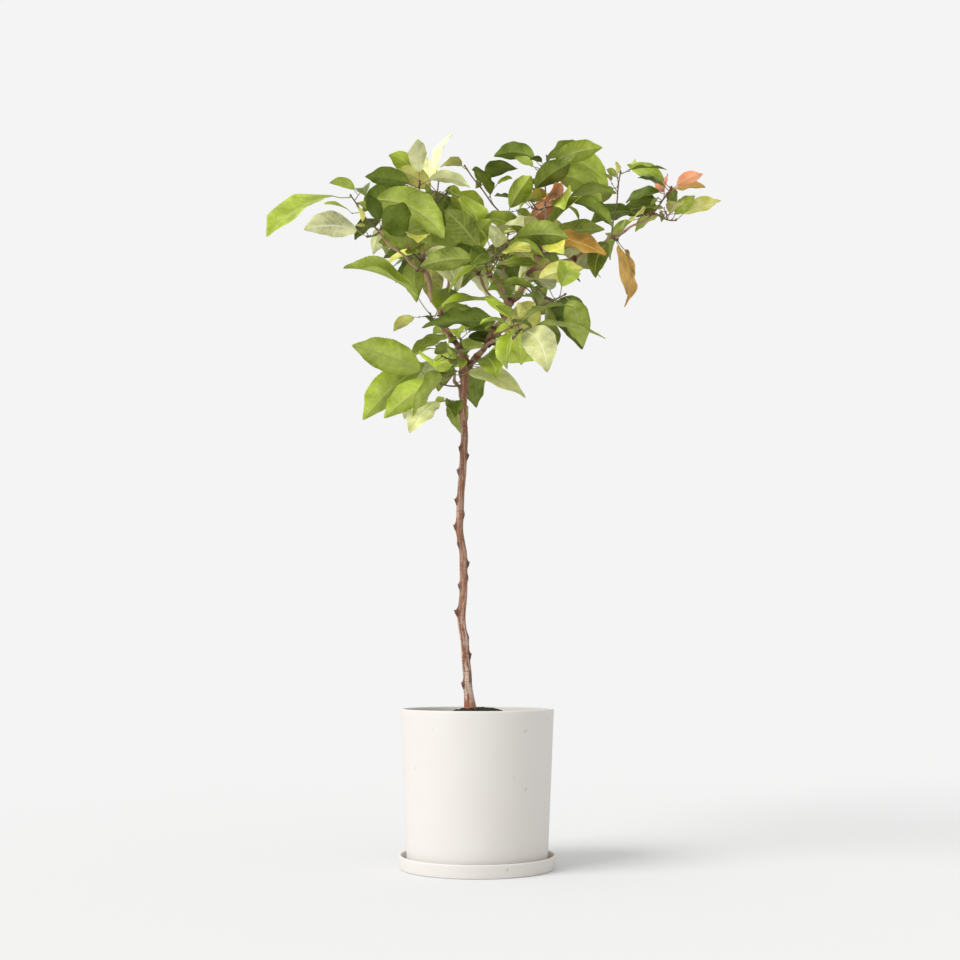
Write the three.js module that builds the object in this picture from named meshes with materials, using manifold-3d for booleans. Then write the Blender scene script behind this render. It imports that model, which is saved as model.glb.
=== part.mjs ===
import * as THREE from "three";
import { mergeVertices } from "three/addons/utils/BufferGeometryUtils.js";
import Module from "manifold-3d";

// Sizes are millimetres and angles degrees.
// X runs to the right of the front view, Y to the back and Z up from the floor under the saucer.

const SEAT = 0.3; // air between two pieces that touch

// Saucer: a low dish with an almost upright wall
const SAUCER_RADIUS = 125.5;
const SAUCER_FOOT_RADIUS = 123;
const SAUCER_HEIGHT = 21;
const SAUCER_WALL = 4.2;
const SAUCER_FLOOR = 5;

// Pot: a plain tapered bucket of stoneware with a thin rim
const POT_RIM_RADIUS = 123;
const POT_FOOT_RADIUS = 114.5;
const POT_TOP = 250;
const POT_WALL = 5;
const POT_FLOOR = 7;
const POT_ROUND = 2.2;

// Soil: flat near the wall, with a low mound round the foot of the trunk
const SOIL_EDGE = 237;
const SOIL_CROWN = 246;
const MOUND_TOP_RADIUS = 26;
const MOUND_FOOT_RADIUS = 58;

// Trunk: its sway is the offset from the pot's axis at even heights, from the soil to the cut top
const TRUNK_TOP = 842;
const TRUNK_SWAY = [-11.5, -16, -20, -26, -22.5, -23, -29.5, -27.5, -24, -21.5, -24, -21.5, -25.5];
const TRUNK_DEPTH = 3;
const TRUNK_RADIUS_LOW = 6.9;
const TRUNK_RADIUS_MIDDLE = 5.7;
const TRUNK_RADIUS_FORK = 7.8;
const TRUNK_FLARE = 4;
const TRUNK_FLARE_HEIGHT = 16;
const TRUNK_SIDES = 8;
const TRUNK_STEP = 10;

// Knots of the trunk: height, heading, and how far each stands out
const KNOT_HEIGHT = 6;
const KNOTS = [
  [288, 180, 2.6], [335, 0, 2.8], [365, 10, 1.8], [405, 180, 4.6], [448, 175, 2.6],
  [461, 5, 1.6], [484, 0, 3.2], [516, 200, 1.6], [545, 180, 3.4], [565, 0, 2.0],
  [588, 180, 3.6], [637, 175, 3.4], [662, 0, 3.0], [675, 185, 2.6], [739, 180, 4.4],
  [768, 20, 2.4], [800, 200, 2.6], [820, 0, 4.2],
];

// Limbs: what each springs from and at what share of it, how far its tip lies across, back and up
// from its foot, how far its middle bows across, back and up, and its radii at foot and tip
const LIMBS = {
  left_bough: {
    on: "trunk", at: 0.985, reach: [-67, -10, 162], bow: [-9, 4, 0], radii: [5.4, 4],
  },
  right_bough: {
    on: "trunk", at: 0.93, reach: [129, 10, 216], bow: [6, 4, 0], radii: [5.6, 3.8],
  },
  left_leader: {
    on: "left_bough", at: 0.98, reach: [18, 8, 98], bow: [-3, 0, 0], radii: [3.1, 2.2],
  },
  far_left_bough: {
    on: "left_bough", at: 0.86, reach: [-78, -24, 64], bow: [-3, 0, -4], radii: [2.6, 2],
  },
  inner_bough: {
    on: "right_bough", at: 0.46, reach: [-50, -44, 72], bow: [-2, 0, 3], radii: [2.7, 2],
  },
  centre_bough: {
    on: "right_bough", at: 0.5, reach: [-4, 26, 100], bow: [-5, 3, 0], radii: [2.8, 2.1],
  },
  low_right_bough: {
    on: "right_bough", at: 0.3, reach: [80, -58, 38], bow: [4, 0, -6], radii: [3.1, 2.2],
  },
  right_leader: {
    on: "right_bough", at: 0.985, reach: [8, -10, 76], bow: [3, 0, 0], radii: [3, 2.2],
  },
  far_right_bough: {
    on: "right_bough", at: 0.84, reach: [142, 24, 66], bow: [4, 0, -8], radii: [3.3, 2.6],
  },
  far_right_tip: {
    on: "far_right_bough", at: 0.985, reach: [77, 18, 50], bow: [2, 0, -4], radii: [2.5, 1.9],
  },
  back_left_bough: {
    on: "left_bough", at: 0.34, reach: [8, 142, 142], bow: [-4, 14, -6], radii: [3.6, 2.4],
  },
  back_right_bough: {
    on: "right_bough", at: 0.56, reach: [44, 158, 128], bow: [6, 12, -8], radii: [3.5, 2.4],
  },
  back_low_bough: {
    on: "trunk", at: 0.86, reach: [-26, 104, 92], bow: [0, 8, -6], radii: [3.6, 2.5],
  },
  front_left_bough: {
    on: "left_bough", at: 0.2, reach: [-18, -56, 4], bow: [0, -2, 4], radii: [3.2, 2.3],
  },
  front_right_bough: {
    on: "right_bough", at: 0.2, reach: [46, -104, -4], bow: [2, -4, 8], radii: [3.2, 2.3],
  },
  front_bough: {
    on: "right_bough", at: 0.52, reach: [-34, -136, 22], bow: [0, -8, 10], radii: [3.2, 2.3],
  },
};
const LIMB_SIDES = 6;
const LIMB_STEP = 17;
const LIMB_WOBBLE = 2.2;
const LIMB_KINK_LENGTH = 62;
const NODE_SWELL = 0.14;

// Masses of leaves: the limb each stands on, how far the tip of its stem lies across, back and up
// from there, what it grows (twigs, leaves to try, length of the longest blade), what its first
// leaf faces (heading and rise), and the seed of its rule
const MASSES = {
  far_left: { on: "far_left_bough", reach: [-47, -10, 59], grow: [0, 2, 144], face: [196, 2], seed: 241 },
  far_left_low: {
    on: "far_left_bough", reach: [-18, -16, -14],
    grow: [0, 2, 108], face: [184, 6], seed: 342,
  },
  top_left: { on: "left_leader", reach: [8, 0, 45], grow: [1, 7, 82], face: [60, 66], seed: 15 },
  upper_left: { on: "left_leader", reach: [-40, -14, 24], grow: [1, 8, 86], face: [160, 30], seed: 59 },
  middle_left: { on: "far_left_bough", reach: [12, 8, 28], grow: [0, 5, 76], face: [60, 10], seed: 365 },
  upper_inner: { on: "left_leader", reach: [26, -30, 22], grow: [1, 6, 106], face: [350, -20], seed: 59 },
  left_whorl: { on: "left_bough", reach: [-22, -30, 10], grow: [1, 6, 114], face: [176, 0], seed: 174 },
  left_side: { on: "left_bough", reach: [-8, -16, -24], grow: [0, 2, 124], face: [180, 20], seed: 287 },
  left_back: { on: "left_bough", reach: [12, 46, 18], grow: [1, 7, 91], face: [60, 10], seed: 374 },
  inner: { on: "inner_bough", reach: [-19, -21, 22], grow: [1, 7, 94], face: [120, 10], seed: 10 },
  centre: { on: "centre_bough", reach: [6, -6, 44], grow: [1, 7, 80], face: [300, 10], seed: 369 },
  centre_back: { on: "centre_bough", reach: [-14, 42, 16], grow: [1, 6, 86], face: [89, 7], seed: 52 },
  right_front: { on: "right_bough", reach: [-4, -36, 16], grow: [1, 8, 97], face: [0, 10], seed: 92 },
  right_back: { on: "right_bough", reach: [30, 44, 12], grow: [1, 7, 79], face: [20, 0], seed: 166 },
  middle_twig: { on: "right_bough", reach: [-128, 4, 151], grow: [0, 4, 86], face: [152, 6], seed: 102 },
  right_top: { on: "right_leader", reach: [4, 5, 93], grow: [1, 6, 112], face: [0, 30], seed: 68 },
  right_side: { on: "right_leader", reach: [32, -24, 4], grow: [1, 7, 89], face: [320, 0], seed: 241 },
  right_rear: { on: "right_leader", reach: [-20, 34, 11], grow: [1, 6, 91], face: [109, 2], seed: 362 },
  far_right: { on: "far_right_tip", reach: [30, -16, 40], grow: [1, 8, 74], face: [170, 30], seed: 34 },
  far_right_end: { on: "far_right_tip", reach: [45, 39, -1], grow: [1, 7, 74], face: [0, 10], seed: 352 },
  far_right_back: { on: "far_right_tip", reach: [-15, 50, 13], grow: [1, 6, 86], face: [90, 0], seed: 201 },
  far_right_twig: { on: "far_right_bough", reach: [17, -8, 113], grow: [0, 3, 67], face: [0, 0], seed: 86 },
  right_low: {
    on: "far_right_bough", reach: [9, -25, -14],
    grow: [0, 3, 103], face: [316, -40], seed: 233,
  },
  low_right: { on: "low_right_bough", reach: [43, -10, 17], grow: [1, 8, 140], face: [0, 0], seed: 108 },
  low_middle: { on: "low_right_bough", reach: [-14, -6, 32], grow: [1, 6, 82], face: [124, 11], seed: 225 },
  front_right: {
    on: "front_right_bough", reach: [13, -32, 5],
    grow: [1, 6, 121], face: [355, 5], seed: 290,
  },
  front_left: {
    on: "front_left_bough", reach: [-13, -29, 12],
    grow: [0, 3, 144], face: [181, 14], seed: 175,
  },
  low_left: { on: "trunk", at: 0.97, reach: [-34, -22, 2], grow: [0, 2, 144], face: [182, 0], seed: 239 },
  front_middle: { on: "front_bough", reach: [-9, -27, 19], grow: [1, 7, 89], face: [250, 10], seed: 359 },
  front_upper: { on: "front_bough", reach: [25, -6, 50], grow: [1, 6, 91], face: [43, 19], seed: 130 },
  lower_left: { on: "trunk", at: 0.9, reach: [-50, -30, -2], grow: [1, 6, 122], face: [205, 0], seed: 146 },
  lower_right: { on: "trunk", at: 0.95, reach: [26, -18, 8], grow: [0, 4, 117], face: [355, 0], seed: 49 },
  lowest: { on: "trunk", at: 0.845, reach: [-26, -16, 4], grow: [0, 5, 90], face: [210, -8], seed: 51 },
  lowest_back: { on: "trunk", at: 0.93, reach: [13, 37, 22], grow: [0, 5, 91], face: [70, 0], seed: 51 },
  fork: { on: "trunk", reach: [-6, 12, 34], grow: [1, 6, 78], face: [160, 10], seed: 333 },
  back_low: { on: "back_low_bough", reach: [-4, 34, 20], grow: [1, 7, 85], face: [90, 0], seed: 141 },
  back_left: { on: "back_left_bough", reach: [-22, 34, 20], grow: [2, 9, 95], face: [120, 0], seed: 178 },
  back_left_high: {
    on: "back_left_bough", reach: [14, 6, 54],
    grow: [1, 7, 89], face: [60, 20], seed: 234,
  },
  back_right: { on: "back_right_bough", reach: [18, 38, 14], grow: [2, 9, 95], face: [60, 0], seed: 5 },
  high_back: { on: "back_right_bough", reach: [-8, 4, 56], grow: [1, 7, 75], face: [100, 20], seed: 124 },
};
const STEM_SIDES = 3;
const STEM_RADII = [2, 1.3];
const TWIG_RADII = [1.5, 1.1];
const TWIG_TURN = 100; // from the heading of the first leaf
const TWIG_LENGTH = 0.55; // of its stem
const TWIG_LEAST = 16;
const STALK_LENGTH = 0.24; // of its blade
const STALK_RADIUS = 1;
const BLADE_WIDTH = 0.47; // of its length
const BLADE_THICKNESS = 0.015; // of its length
const BLADE_FOLD = 0.2; // rise of an edge, of the half width
const GOLDEN_TURN = 137.5;
const HEADING_SPREAD = 70;
const RISE_SPREAD = 56;
const ROLL_SPREAD = 130;
const LEAST_DROOP = 12;
const DROOP_SPREAD = 52;
const LENGTH_SPREAD = 0.34; // of the longest blade
const LEAF_TRIES = 9;
const SAMPLE_STEP = 7;
const LEAF_CLEAR = 9; // least distance between sample points of leaves of two masses
const OWN_CLEAR = 6.5;
const LIMB_CLEAR = 4;
const JOINT_REACH = 14;
const TRIM = 0.16; // how far a facet may move where slivers are merged
const ROOM = 1.5; // reach of a mass's space beyond its stem, in longest blades

// Bark, young wood, stoneware, soil and the greens of the leaves
const BARK = { color: 0xa88166, roughness: 0.85, metalness: 0 };
const STONEWARE = { color: 0xefebe2, roughness: 0.6, metalness: 0 };
const SOIL = { color: 0x2a2a20, roughness: 1, metalness: 0 };
const LEAF = { color: 0x6f9530, roughness: 0.55, metalness: 0 };
const YOUNG_LEAF = { color: 0xb7c766, roughness: 0.55, metalness: 0 };
const RUSSET_LEAF = { color: 0xb98f45, roughness: 0.55, metalness: 0 };
const YOUNG = ["far_left", "top_left", "fork", "front_left", "front_right"];
const RUSSET = ["centre", "right_side", "far_right"];

const wasm = await Module();
wasm.setup();

const radians = THREE.MathUtils.degToRad;
const vector = (list) => new THREE.Vector3(...list);

// Seeded numbers from 0 to 1
function dice(seed) {
  let state = Math.imul(seed, 2654435761) >>> 0;
  return () => {
    state = (state + 0x6d2b79f5) >>> 0;
    let t = Math.imul(state ^ (state >>> 15), 1 | state);
    t = (t + Math.imul(t ^ (t >>> 7), 61 | t)) ^ t;
    return ((t ^ (t >>> 14)) >>> 0) / 4294967296;
  };
}

// A closed solid from a geometry whose seams are still open
function solid(geometry) {
  geometry.deleteAttribute("normal");
  geometry.deleteAttribute("uv");
  const merged = mergeVertices(geometry, 1e-4);
  const mesh = new wasm.Mesh({
    numProp: 3,
    vertProperties: new Float32Array(merged.attributes.position.array),
    triVerts: new Uint32Array(merged.index.array),
  });
  return new wasm.Manifold(mesh);
}

function lathe(profile, sides) {
  const points = profile.map(([r, z]) => new THREE.Vector2(r, z));
  const shape = new THREE.LatheGeometry(points, sides);
  shape.rotateX(Math.PI / 2);
  return solid(shape);
}

// Moves each vertex of a sphere or cylinder to place(share of length, sideways, upwards)
function shaped(geometry, place) {
  const at = geometry.attributes.position;
  const uv = geometry.attributes.uv;
  const top = Math.max(...Array.from({ length: at.count }, (_, i) => at.getY(i)));
  for (let i = 0; i < at.count; i += 1) {
    const x = at.getX(i);
    const z = at.getZ(i);
    const out = Math.hypot(x, z);
    const onAxis = out < 1e-6;
    const t = geometry.type === "SphereGeometry" ? uv.getY(i) : 0.5 + at.getY(i) / (2 * top);
    const p = place(t, onAxis ? 0 : x / out, onAxis ? 0 : z / out);
    at.setXYZ(i, p.x, p.y, p.z);
  }
  return geometry;
}

// The point at a share of a limb's or twig's length
function pointOn(stick, t) {
  if (stick.sway) {
    return swayPoint(stick, t);
  }
  const swell = 4 * t * (1 - t);
  const turn = 2 * Math.PI * stick.kinks * t + stick.phase;
  const wobble = stick.wobble * Math.max(0, Math.min(1, 2 * swell));
  return stick.foot.clone()
    .addScaledVector(stick.reach, t)
    .addScaledVector(stick.bow, swell)
    .addScaledVector(stick.sideA, wobble * Math.sin(turn))
    .addScaledVector(stick.sideB, wobble * Math.cos(turn));
}

// The trunk's point: its sway eased from one even height to the next
function swayPoint(stick, t) {
  const last = stick.sway.length - 1;
  const along = THREE.MathUtils.clamp(t, 0, 1) * last;
  const low = Math.min(Math.floor(along), last - 1);
  const ease = THREE.MathUtils.smoothstep(along - low, 0, 1);
  const x = THREE.MathUtils.lerp(stick.sway[low], stick.sway[low + 1], ease);
  const y = TRUNK_DEPTH * Math.sin(5 * t);
  return new THREE.Vector3(x, y, stick.foot.z + t * stick.length);
}

// Axes at a share of a stick's length: sideways, along and upwards
function axesOn(stick, t) {
  if (stick.sway) {
    const along = new THREE.Vector3(0, 0, 1);
    return { side: new THREE.Vector3(-1, 0, 0), along, up: new THREE.Vector3(0, 1, 0) };
  }
  const step = 0.01;
  const along = pointOn(stick, t + step).sub(pointOn(stick, t - step)).normalize();
  const side = new THREE.Vector3().crossVectors(along, stick.keel).normalize();
  const up = new THREE.Vector3().crossVectors(side, along);
  return { side, along, up };
}

// A stick is the centre line that limbs, stems, twigs and petioles share
function stick(foot, reach, bow, radii, wobble, seed) {
  const length = reach.length();
  const level = Math.abs(reach.z) < 0.8 * length;
  const keel = level ? new THREE.Vector3(0, 0, 1) : new THREE.Vector3(0, 1, 0);
  const sideA = new THREE.Vector3().crossVectors(reach, keel).normalize();
  const sideB = new THREE.Vector3().crossVectors(reach, sideA).normalize();
  const phase = 2 * Math.PI * dice(seed)();
  const kinks = length / LIMB_KINK_LENGTH;
  return { foot, reach, bow, radii, wobble, phase, kinks, length, keel, sideA, sideB };
}

function radiusOn(limb, t) {
  const nodes = Math.max(1, Math.round(limb.length / 36));
  const knob = 1 + NODE_SWELL * Math.cos(2 * Math.PI * nodes * t);
  return THREE.MathUtils.lerp(limb.radii[0], limb.radii[1], t) * knob;
}

// The trunk's radius: a flare at its foot, a swell at its fork, and its knots
function trunkRadius(t, x, y) {
  const height = t * (TRUNK_TOP - SOIL_CROWN);
  const flare = TRUNK_FLARE * Math.exp(-height / TRUNK_FLARE_HEIGHT);
  const low = TRUNK_RADIUS_LOW + (TRUNK_RADIUS_MIDDLE - TRUNK_RADIUS_LOW) * Math.min(1, 2 * t);
  const fork = (TRUNK_RADIUS_FORK - TRUNK_RADIUS_MIDDLE) * THREE.MathUtils.smoothstep(t, 0.82, 1);
  let radius = low + flare + fork;
  for (const [z, heading, out] of KNOTS) {
    const facing = x * Math.cos(radians(heading)) + y * Math.sin(radians(heading));
    const near = (SOIL_CROWN + height - z) / KNOT_HEIGHT;
    radius += out * Math.exp(-near * near) * Math.max(0, facing) ** 3;
  }
  return radius;
}

// The faceted solid of a limb, grown by some air where another piece is to be cut clear of it
function limbSolid(limb, air = 0) {
  const sides = limb.sides;
  const steps = Math.max(4, Math.round(limb.length / limb.step));
  const grown = air / Math.cos(Math.PI / sides);
  const over = air / limb.length;
  const tube = shaped(new THREE.CylinderGeometry(1, 1, 1, sides, steps), (share, x, z) => {
    const end = share < 0.5 ? -over : over;
    const t = Math.abs(share - 0.5) > 0.499 ? share + end : share;
    const { side, up } = axesOn(limb, t);
    const out = side.clone().multiplyScalar(x).addScaledVector(up, z);
    const radius = limb.sway ? trunkRadius(t, out.x, out.y) : radiusOn(limb, t);
    return pointOn(limb, t).addScaledVector(out, radius + grown);
  });
  return solid(tube);
}

// A slim round stick, pointed at both ends, of few faces
function slimSolid(line, rings) {
  const ends = 0.05;
  const slim = shaped(new THREE.SphereGeometry(1, STEM_SIDES, rings), (share, x, z) => {
    const inner = (share * rings - 1) / (rings - 2);
    const t = x || z ? ends + (1 - 2 * ends) * inner : Math.round(share);
    const { side, up } = axesOn(line, t);
    const radius = THREE.MathUtils.lerp(line.radii[0], line.radii[1], t);
    return pointOn(line, t).addScaledVector(side, x * radius).addScaledVector(up, z * radius);
  });
  return solid(slim);
}

// Half the width of a blade at a share of its length, as a share of its widest half
function bladeShare(t) {
  return Math.sin(Math.PI * t ** 0.88) ** 0.75;
}

// The midrib of a blade: it leaves at its rise and droops evenly to its tip
function bladeMiddle(leaf, t) {
  const start = radians(leaf.rise);
  const droop = radians(leaf.droop);
  const forward = (leaf.length * (Math.sin(start) - Math.sin(start - droop * t))) / droop;
  const lift = (leaf.length * (Math.cos(start - droop * t) - Math.cos(start))) / droop;
  return leaf.base.clone()
    .addScaledVector(leaf.ahead, forward)
    .add(new THREE.Vector3(0, 0, lift));
}

function bladeAxes(leaf, t) {
  const pitch = radians(leaf.rise - leaf.droop * t);
  const along = leaf.ahead.clone().multiplyScalar(Math.cos(pitch));
  along.z = Math.sin(pitch);
  const level = new THREE.Vector3(leaf.ahead.y, -leaf.ahead.x, 0);
  const upright = new THREE.Vector3().crossVectors(level, along);
  const side = level.multiplyScalar(Math.cos(radians(leaf.roll)))
    .addScaledVector(upright, Math.sin(radians(leaf.roll)));
  const up = new THREE.Vector3().crossVectors(side, along);
  return { side, along, up };
}

// A point of the blade: across is -1 at its left edge, 0 at its midrib and 1 at its right edge
function bladePoint(leaf, t, across, lift) {
  const { side, up } = bladeAxes(leaf, t);
  const half = 0.5 * leaf.width * bladeShare(t);
  return bladeMiddle(leaf, t)
    .addScaledVector(side, across * half)
    .addScaledVector(up, Math.abs(across) * half * BLADE_FOLD + lift);
}

// The faceted leaf in one piece: a slim stalk sunk in its shoot, then a folded, drooping blade
function leafSolid(leaf) {
  const blade = [0.2, 0.52, 0.82];
  const rings = blade.length + 3;
  const thick = 0.5 * BLADE_THICKNESS * leaf.length;
  const stalk = leaf.base.clone().sub(leaf.node);
  const plate = shaped(new THREE.SphereGeometry(1, 4, rings), (share, x, z) => {
    const ring = Math.round(share * rings);
    if (ring === 0 || ring === rings) {
      return ring ? bladeMiddle(leaf, 1) : leaf.node.clone().addScaledVector(stalk, -0.02);
    }
    const { side, up } = bladeAxes(leaf, 0);
    if (ring <= 2) {
      const foot = leaf.node.clone().addScaledVector(stalk, ring === 1 ? 0.02 : 1);
      return foot.addScaledVector(side, x * STALK_RADIUS).addScaledVector(up, z * STALK_RADIUS);
    }
    return bladePoint(leaf, blade[ring - 3], Math.round(x), z * thick);
  });
  return solid(plate);
}

// Points spread over a blade and along its stalk, which stand for it in tests of clearance
function samplesOf(leaf) {
  const points = [];
  const steps = Math.ceil(leaf.length / SAMPLE_STEP);
  for (let i = 1; i <= steps; i += 1) {
    for (const across of [-1, -0.6, -0.2, 0.2, 0.6, 1]) {
      points.push(bladePoint(leaf, i / steps, across, 0));
    }
  }
  for (const share of [0.5, 1]) {
    points.push(leaf.node.clone().lerp(leaf.base, share));
  }
  return points;
}

// What already grows, in cells of space, so that near things are found quickly
class Crown {
  constructor() {
    this.cells = new Map();
  }

  key(x, y, z) {
    return `${x},${y},${z}`;
  }

  add(owner, point, radius) {
    const size = 16;
    const [x, y, z] = [point.x, point.y, point.z].map((v) => Math.floor(v / size));
    const key = this.key(x, y, z);
    if (!this.cells.has(key)) {
      this.cells.set(key, []);
    }
    this.cells.get(key).push({ owner, point, radius });
  }

  // Whether a point of one owner comes too near to anything else
  touches(owner, point, own) {
    const size = 16;
    const [x, y, z] = [point.x, point.y, point.z].map((v) => Math.floor(v / size));
    for (let i = x - 1; i <= x + 1; i += 1) {
      for (let j = y - 1; j <= y + 1; j += 1) {
        for (let k = z - 1; k <= z + 1; k += 1) {
          for (const other of this.cells.get(this.key(i, j, k)) ?? []) {
            const clear = other.owner === owner ? own : LEAF_CLEAR;
            const limit = other.radius ? other.radius + LIMB_CLEAR : clear;
            if (point.distanceTo(other.point) < limit) {
              return true;
            }
          }
        }
      }
    }
    return false;
  }
}

function plantLimb(crown, name, limb) {
  const steps = Math.ceil(limb.length / 5);
  for (let i = 0; i <= steps; i += 1) {
    const t = i / steps;
    const radius = limb.sway ? TRUNK_RADIUS_FORK : radiusOn(limb, t);
    crown.add(name, pointOn(limb, t), radius);
  }
}

// The unit vector of a heading and a climb
function headingWay(heading, climb) {
  const level = Math.cos(radians(climb));
  const x = Math.cos(radians(heading)) * level;
  const y = Math.sin(radians(heading)) * level;
  return new THREE.Vector3(x, y, Math.sin(radians(climb)));
}

// One leaf by the rule: its heading turns by the golden turn, its rise, droop and roll are seeded
function dealLeaf(mass, shoot, share, index, roll) {
  const node = pointOn(shoot, share);
  const [face, lift] = mass.face;
  const longest = mass.grow[2];
  const heading = radians(face + GOLDEN_TURN * index + HEADING_SPREAD * (roll() - 0.5));
  const ahead = new THREE.Vector3(Math.cos(heading), Math.sin(heading), 0);
  const rise = lift + RISE_SPREAD * (roll() - 0.5);
  const droop = LEAST_DROOP + DROOP_SPREAD * roll();
  const lean = ROLL_SPREAD * (roll() - 0.5);
  const length = longest * (index ? 1 - LENGTH_SPREAD * roll() : 1);
  const stalk = radians(rise + 12);
  const base = node.clone()
    .addScaledVector(ahead, STALK_LENGTH * length * Math.cos(stalk))
    .add(new THREE.Vector3(0, 0, STALK_LENGTH * length * Math.sin(stalk)));
  return { node, base, ahead, rise, droop, roll: lean, length, width: BLADE_WIDTH * length };
}

// The shoots of a mass: one stem, and the twigs off it that find room
function growShoots(crown, limbs, name, mass, order) {
  const roll = dice(order);
  const parent = limbs[mass.on];
  const foot = pointOn(parent, mass.at ?? 1 - 1.5 / parent.length);
  const reach = vector(mass.reach);
  const bow = new THREE.Vector3(0, 0, -0.06 * reach.length());
  const stem = stick(foot, reach, bow, STEM_RADII, 0.8, order);
  const shoots = [stem];
  const twigs = mass.grow[0];
  for (let i = 0; i < twigs; i += 1) {
    const turn = TWIG_TURN + GOLDEN_TURN * i + 60 * (roll() - 0.5);
    const length = Math.max(TWIG_LEAST, TWIG_LENGTH * stem.length * (0.7 + 0.6 * roll()));
    const way = headingWay(mass.face[0] + turn, 15 + 30 * roll());
    const start = pointOn(stem, 0.45 + (0.35 * (i + 0.5)) / twigs);
    const none = new THREE.Vector3();
    const twig = stick(start, way.multiplyScalar(length), none, TWIG_RADII, 0, order);
    if (![0.4, 0.7, 1].some((t) => crown.touches(name, pointOn(twig, t), 0))) {
      shoots.push(twig);
    }
  }
  for (const shoot of shoots) {
    const steps = Math.ceil(shoot.length / 5);
    for (let i = 1; i <= steps; i += 1) {
      crown.add(name, pointOn(shoot, i / steps), STEM_RADII[0]);
    }
  }
  return { name, mass, foot, parent, shoots, leaves: [] };
}

// The leaves of a mass, dealt to its shoots in turn from their tips: one with no room is skipped
function growLeaves(crown, grown) {
  const { name, mass, foot, shoots } = grown;
  const roll = dice(mass.seed);
  const [, wanted, longest] = mass.grow;
  const space = shoots[0].length + ROOM * longest;
  for (let i = 0; i < wanted; i += 1) {
    const shoot = shoots[i % shoots.length];
    const share = Math.max(0.3, 0.97 - 0.17 * Math.floor(i / shoots.length));
    for (let attempt = 0; attempt < LEAF_TRIES; attempt += 1) {
      const leaf = dealLeaf(mass, shoot, share, i + 3 * attempt, roll);
      const points = samplesOf(leaf);
      const inside = points.every((p) => p.distanceTo(foot) < space);
      if (inside && !points.some((p) => crown.touches(name, p, OWN_CLEAR))) {
        grown.leaves.push(leaf);
        points.forEach((p) => crown.add(name, p, 0));
        break;
      }
    }
  }
  return grown;
}

// Fuses a mass and cuts its stem clear of the limbs that it starts from
function massSolid(grown, limbs) {
  const parts = grown.shoots.map((shoot, i) => slimSolid(shoot, i ? 3 : 5));
  parts.push(...grown.leaves.map(leafSolid));
  const near = Object.values(limbs).filter((limb) => limb.foot.distanceTo(grown.foot) < JOINT_REACH);
  const cut = [...new Set([grown.parent, ...near])].map((limb) => limbSolid(limb, SEAT));
  const fused = wasm.Manifold.union(parts).subtract(wasm.Manifold.union(cut));
  return whole(whole(fused).asOriginal().simplify(TRIM));
}

// The largest body of a solid, without loose scraps or sealed hollows
function whole(body) {
  return body.decompose().reduce((a, b) => (b.volume() > a.volume() ? b : a));
}

function meshOf(name, body, finish) {
  const { vertProperties, triVerts, numProp } = body.getMesh();
  const geometry = new THREE.BufferGeometry();
  const positions = new Float32Array((vertProperties.length / numProp) * 3);
  for (let i = 0; i < positions.length; i += 1) {
    positions[i] = vertProperties[Math.floor(i / 3) * numProp + (i % 3)];
  }
  geometry.setAttribute("position", new THREE.BufferAttribute(positions, 3));
  geometry.setIndex(new THREE.BufferAttribute(new Uint32Array(triVerts), 1));
  geometry.computeVertexNormals();
  const mesh = new THREE.Mesh(geometry, new THREE.MeshStandardMaterial(finish));
  mesh.name = name;
  return mesh;
}

function saucerSolid() {
  return lathe([
    [0, 0],
    [SAUCER_FOOT_RADIUS - 1, 0],
    [SAUCER_FOOT_RADIUS, 1],
    [SAUCER_RADIUS, SAUCER_HEIGHT - 1.5],
    [SAUCER_RADIUS - 1.2, SAUCER_HEIGHT],
    [SAUCER_RADIUS - SAUCER_WALL + 1.2, SAUCER_HEIGHT],
    [SAUCER_RADIUS - SAUCER_WALL, SAUCER_HEIGHT - 1.5],
    [SAUCER_FOOT_RADIUS - SAUCER_WALL, SAUCER_FLOOR + 1.5],
    [SAUCER_FOOT_RADIUS - SAUCER_WALL - 1.5, SAUCER_FLOOR],
    [0, SAUCER_FLOOR],
  ], 36);
}

const POT_FOOT = SAUCER_FLOOR + SEAT;

function potInside(z) {
  const share = (z - POT_FOOT) / (POT_TOP - POT_FOOT);
  return THREE.MathUtils.lerp(POT_FOOT_RADIUS, POT_RIM_RADIUS, share) - POT_WALL;
}

function potSolid() {
  return lathe([
    [0, POT_FOOT],
    [POT_FOOT_RADIUS - POT_ROUND, POT_FOOT],
    [POT_FOOT_RADIUS, POT_FOOT + POT_ROUND],
    [POT_RIM_RADIUS, POT_TOP - POT_ROUND],
    [POT_RIM_RADIUS - 0.3 * POT_ROUND, POT_TOP - 0.3 * POT_ROUND],
    [POT_RIM_RADIUS - POT_ROUND, POT_TOP],
    [potInside(POT_TOP) + 1, POT_TOP],
    [potInside(POT_TOP), POT_TOP - 1],
    [potInside(POT_FOOT + POT_FLOOR), POT_FOOT + POT_FLOOR],
    [0, POT_FOOT + POT_FLOOR],
  ], 36);
}

function soilSolid() {
  const floor = POT_FOOT + POT_FLOOR + SEAT;
  return lathe([
    [0, floor],
    [potInside(floor) - SEAT, floor],
    [potInside(SOIL_EDGE) - SEAT, SOIL_EDGE],
    [MOUND_FOOT_RADIUS, SOIL_EDGE + 1],
    [0.6 * MOUND_FOOT_RADIUS + 0.4 * MOUND_TOP_RADIUS, 0.4 * SOIL_EDGE + 0.6 * SOIL_CROWN],
    [MOUND_TOP_RADIUS, SOIL_CROWN],
    [0, SOIL_CROWN],
  ], 36);
}

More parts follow.
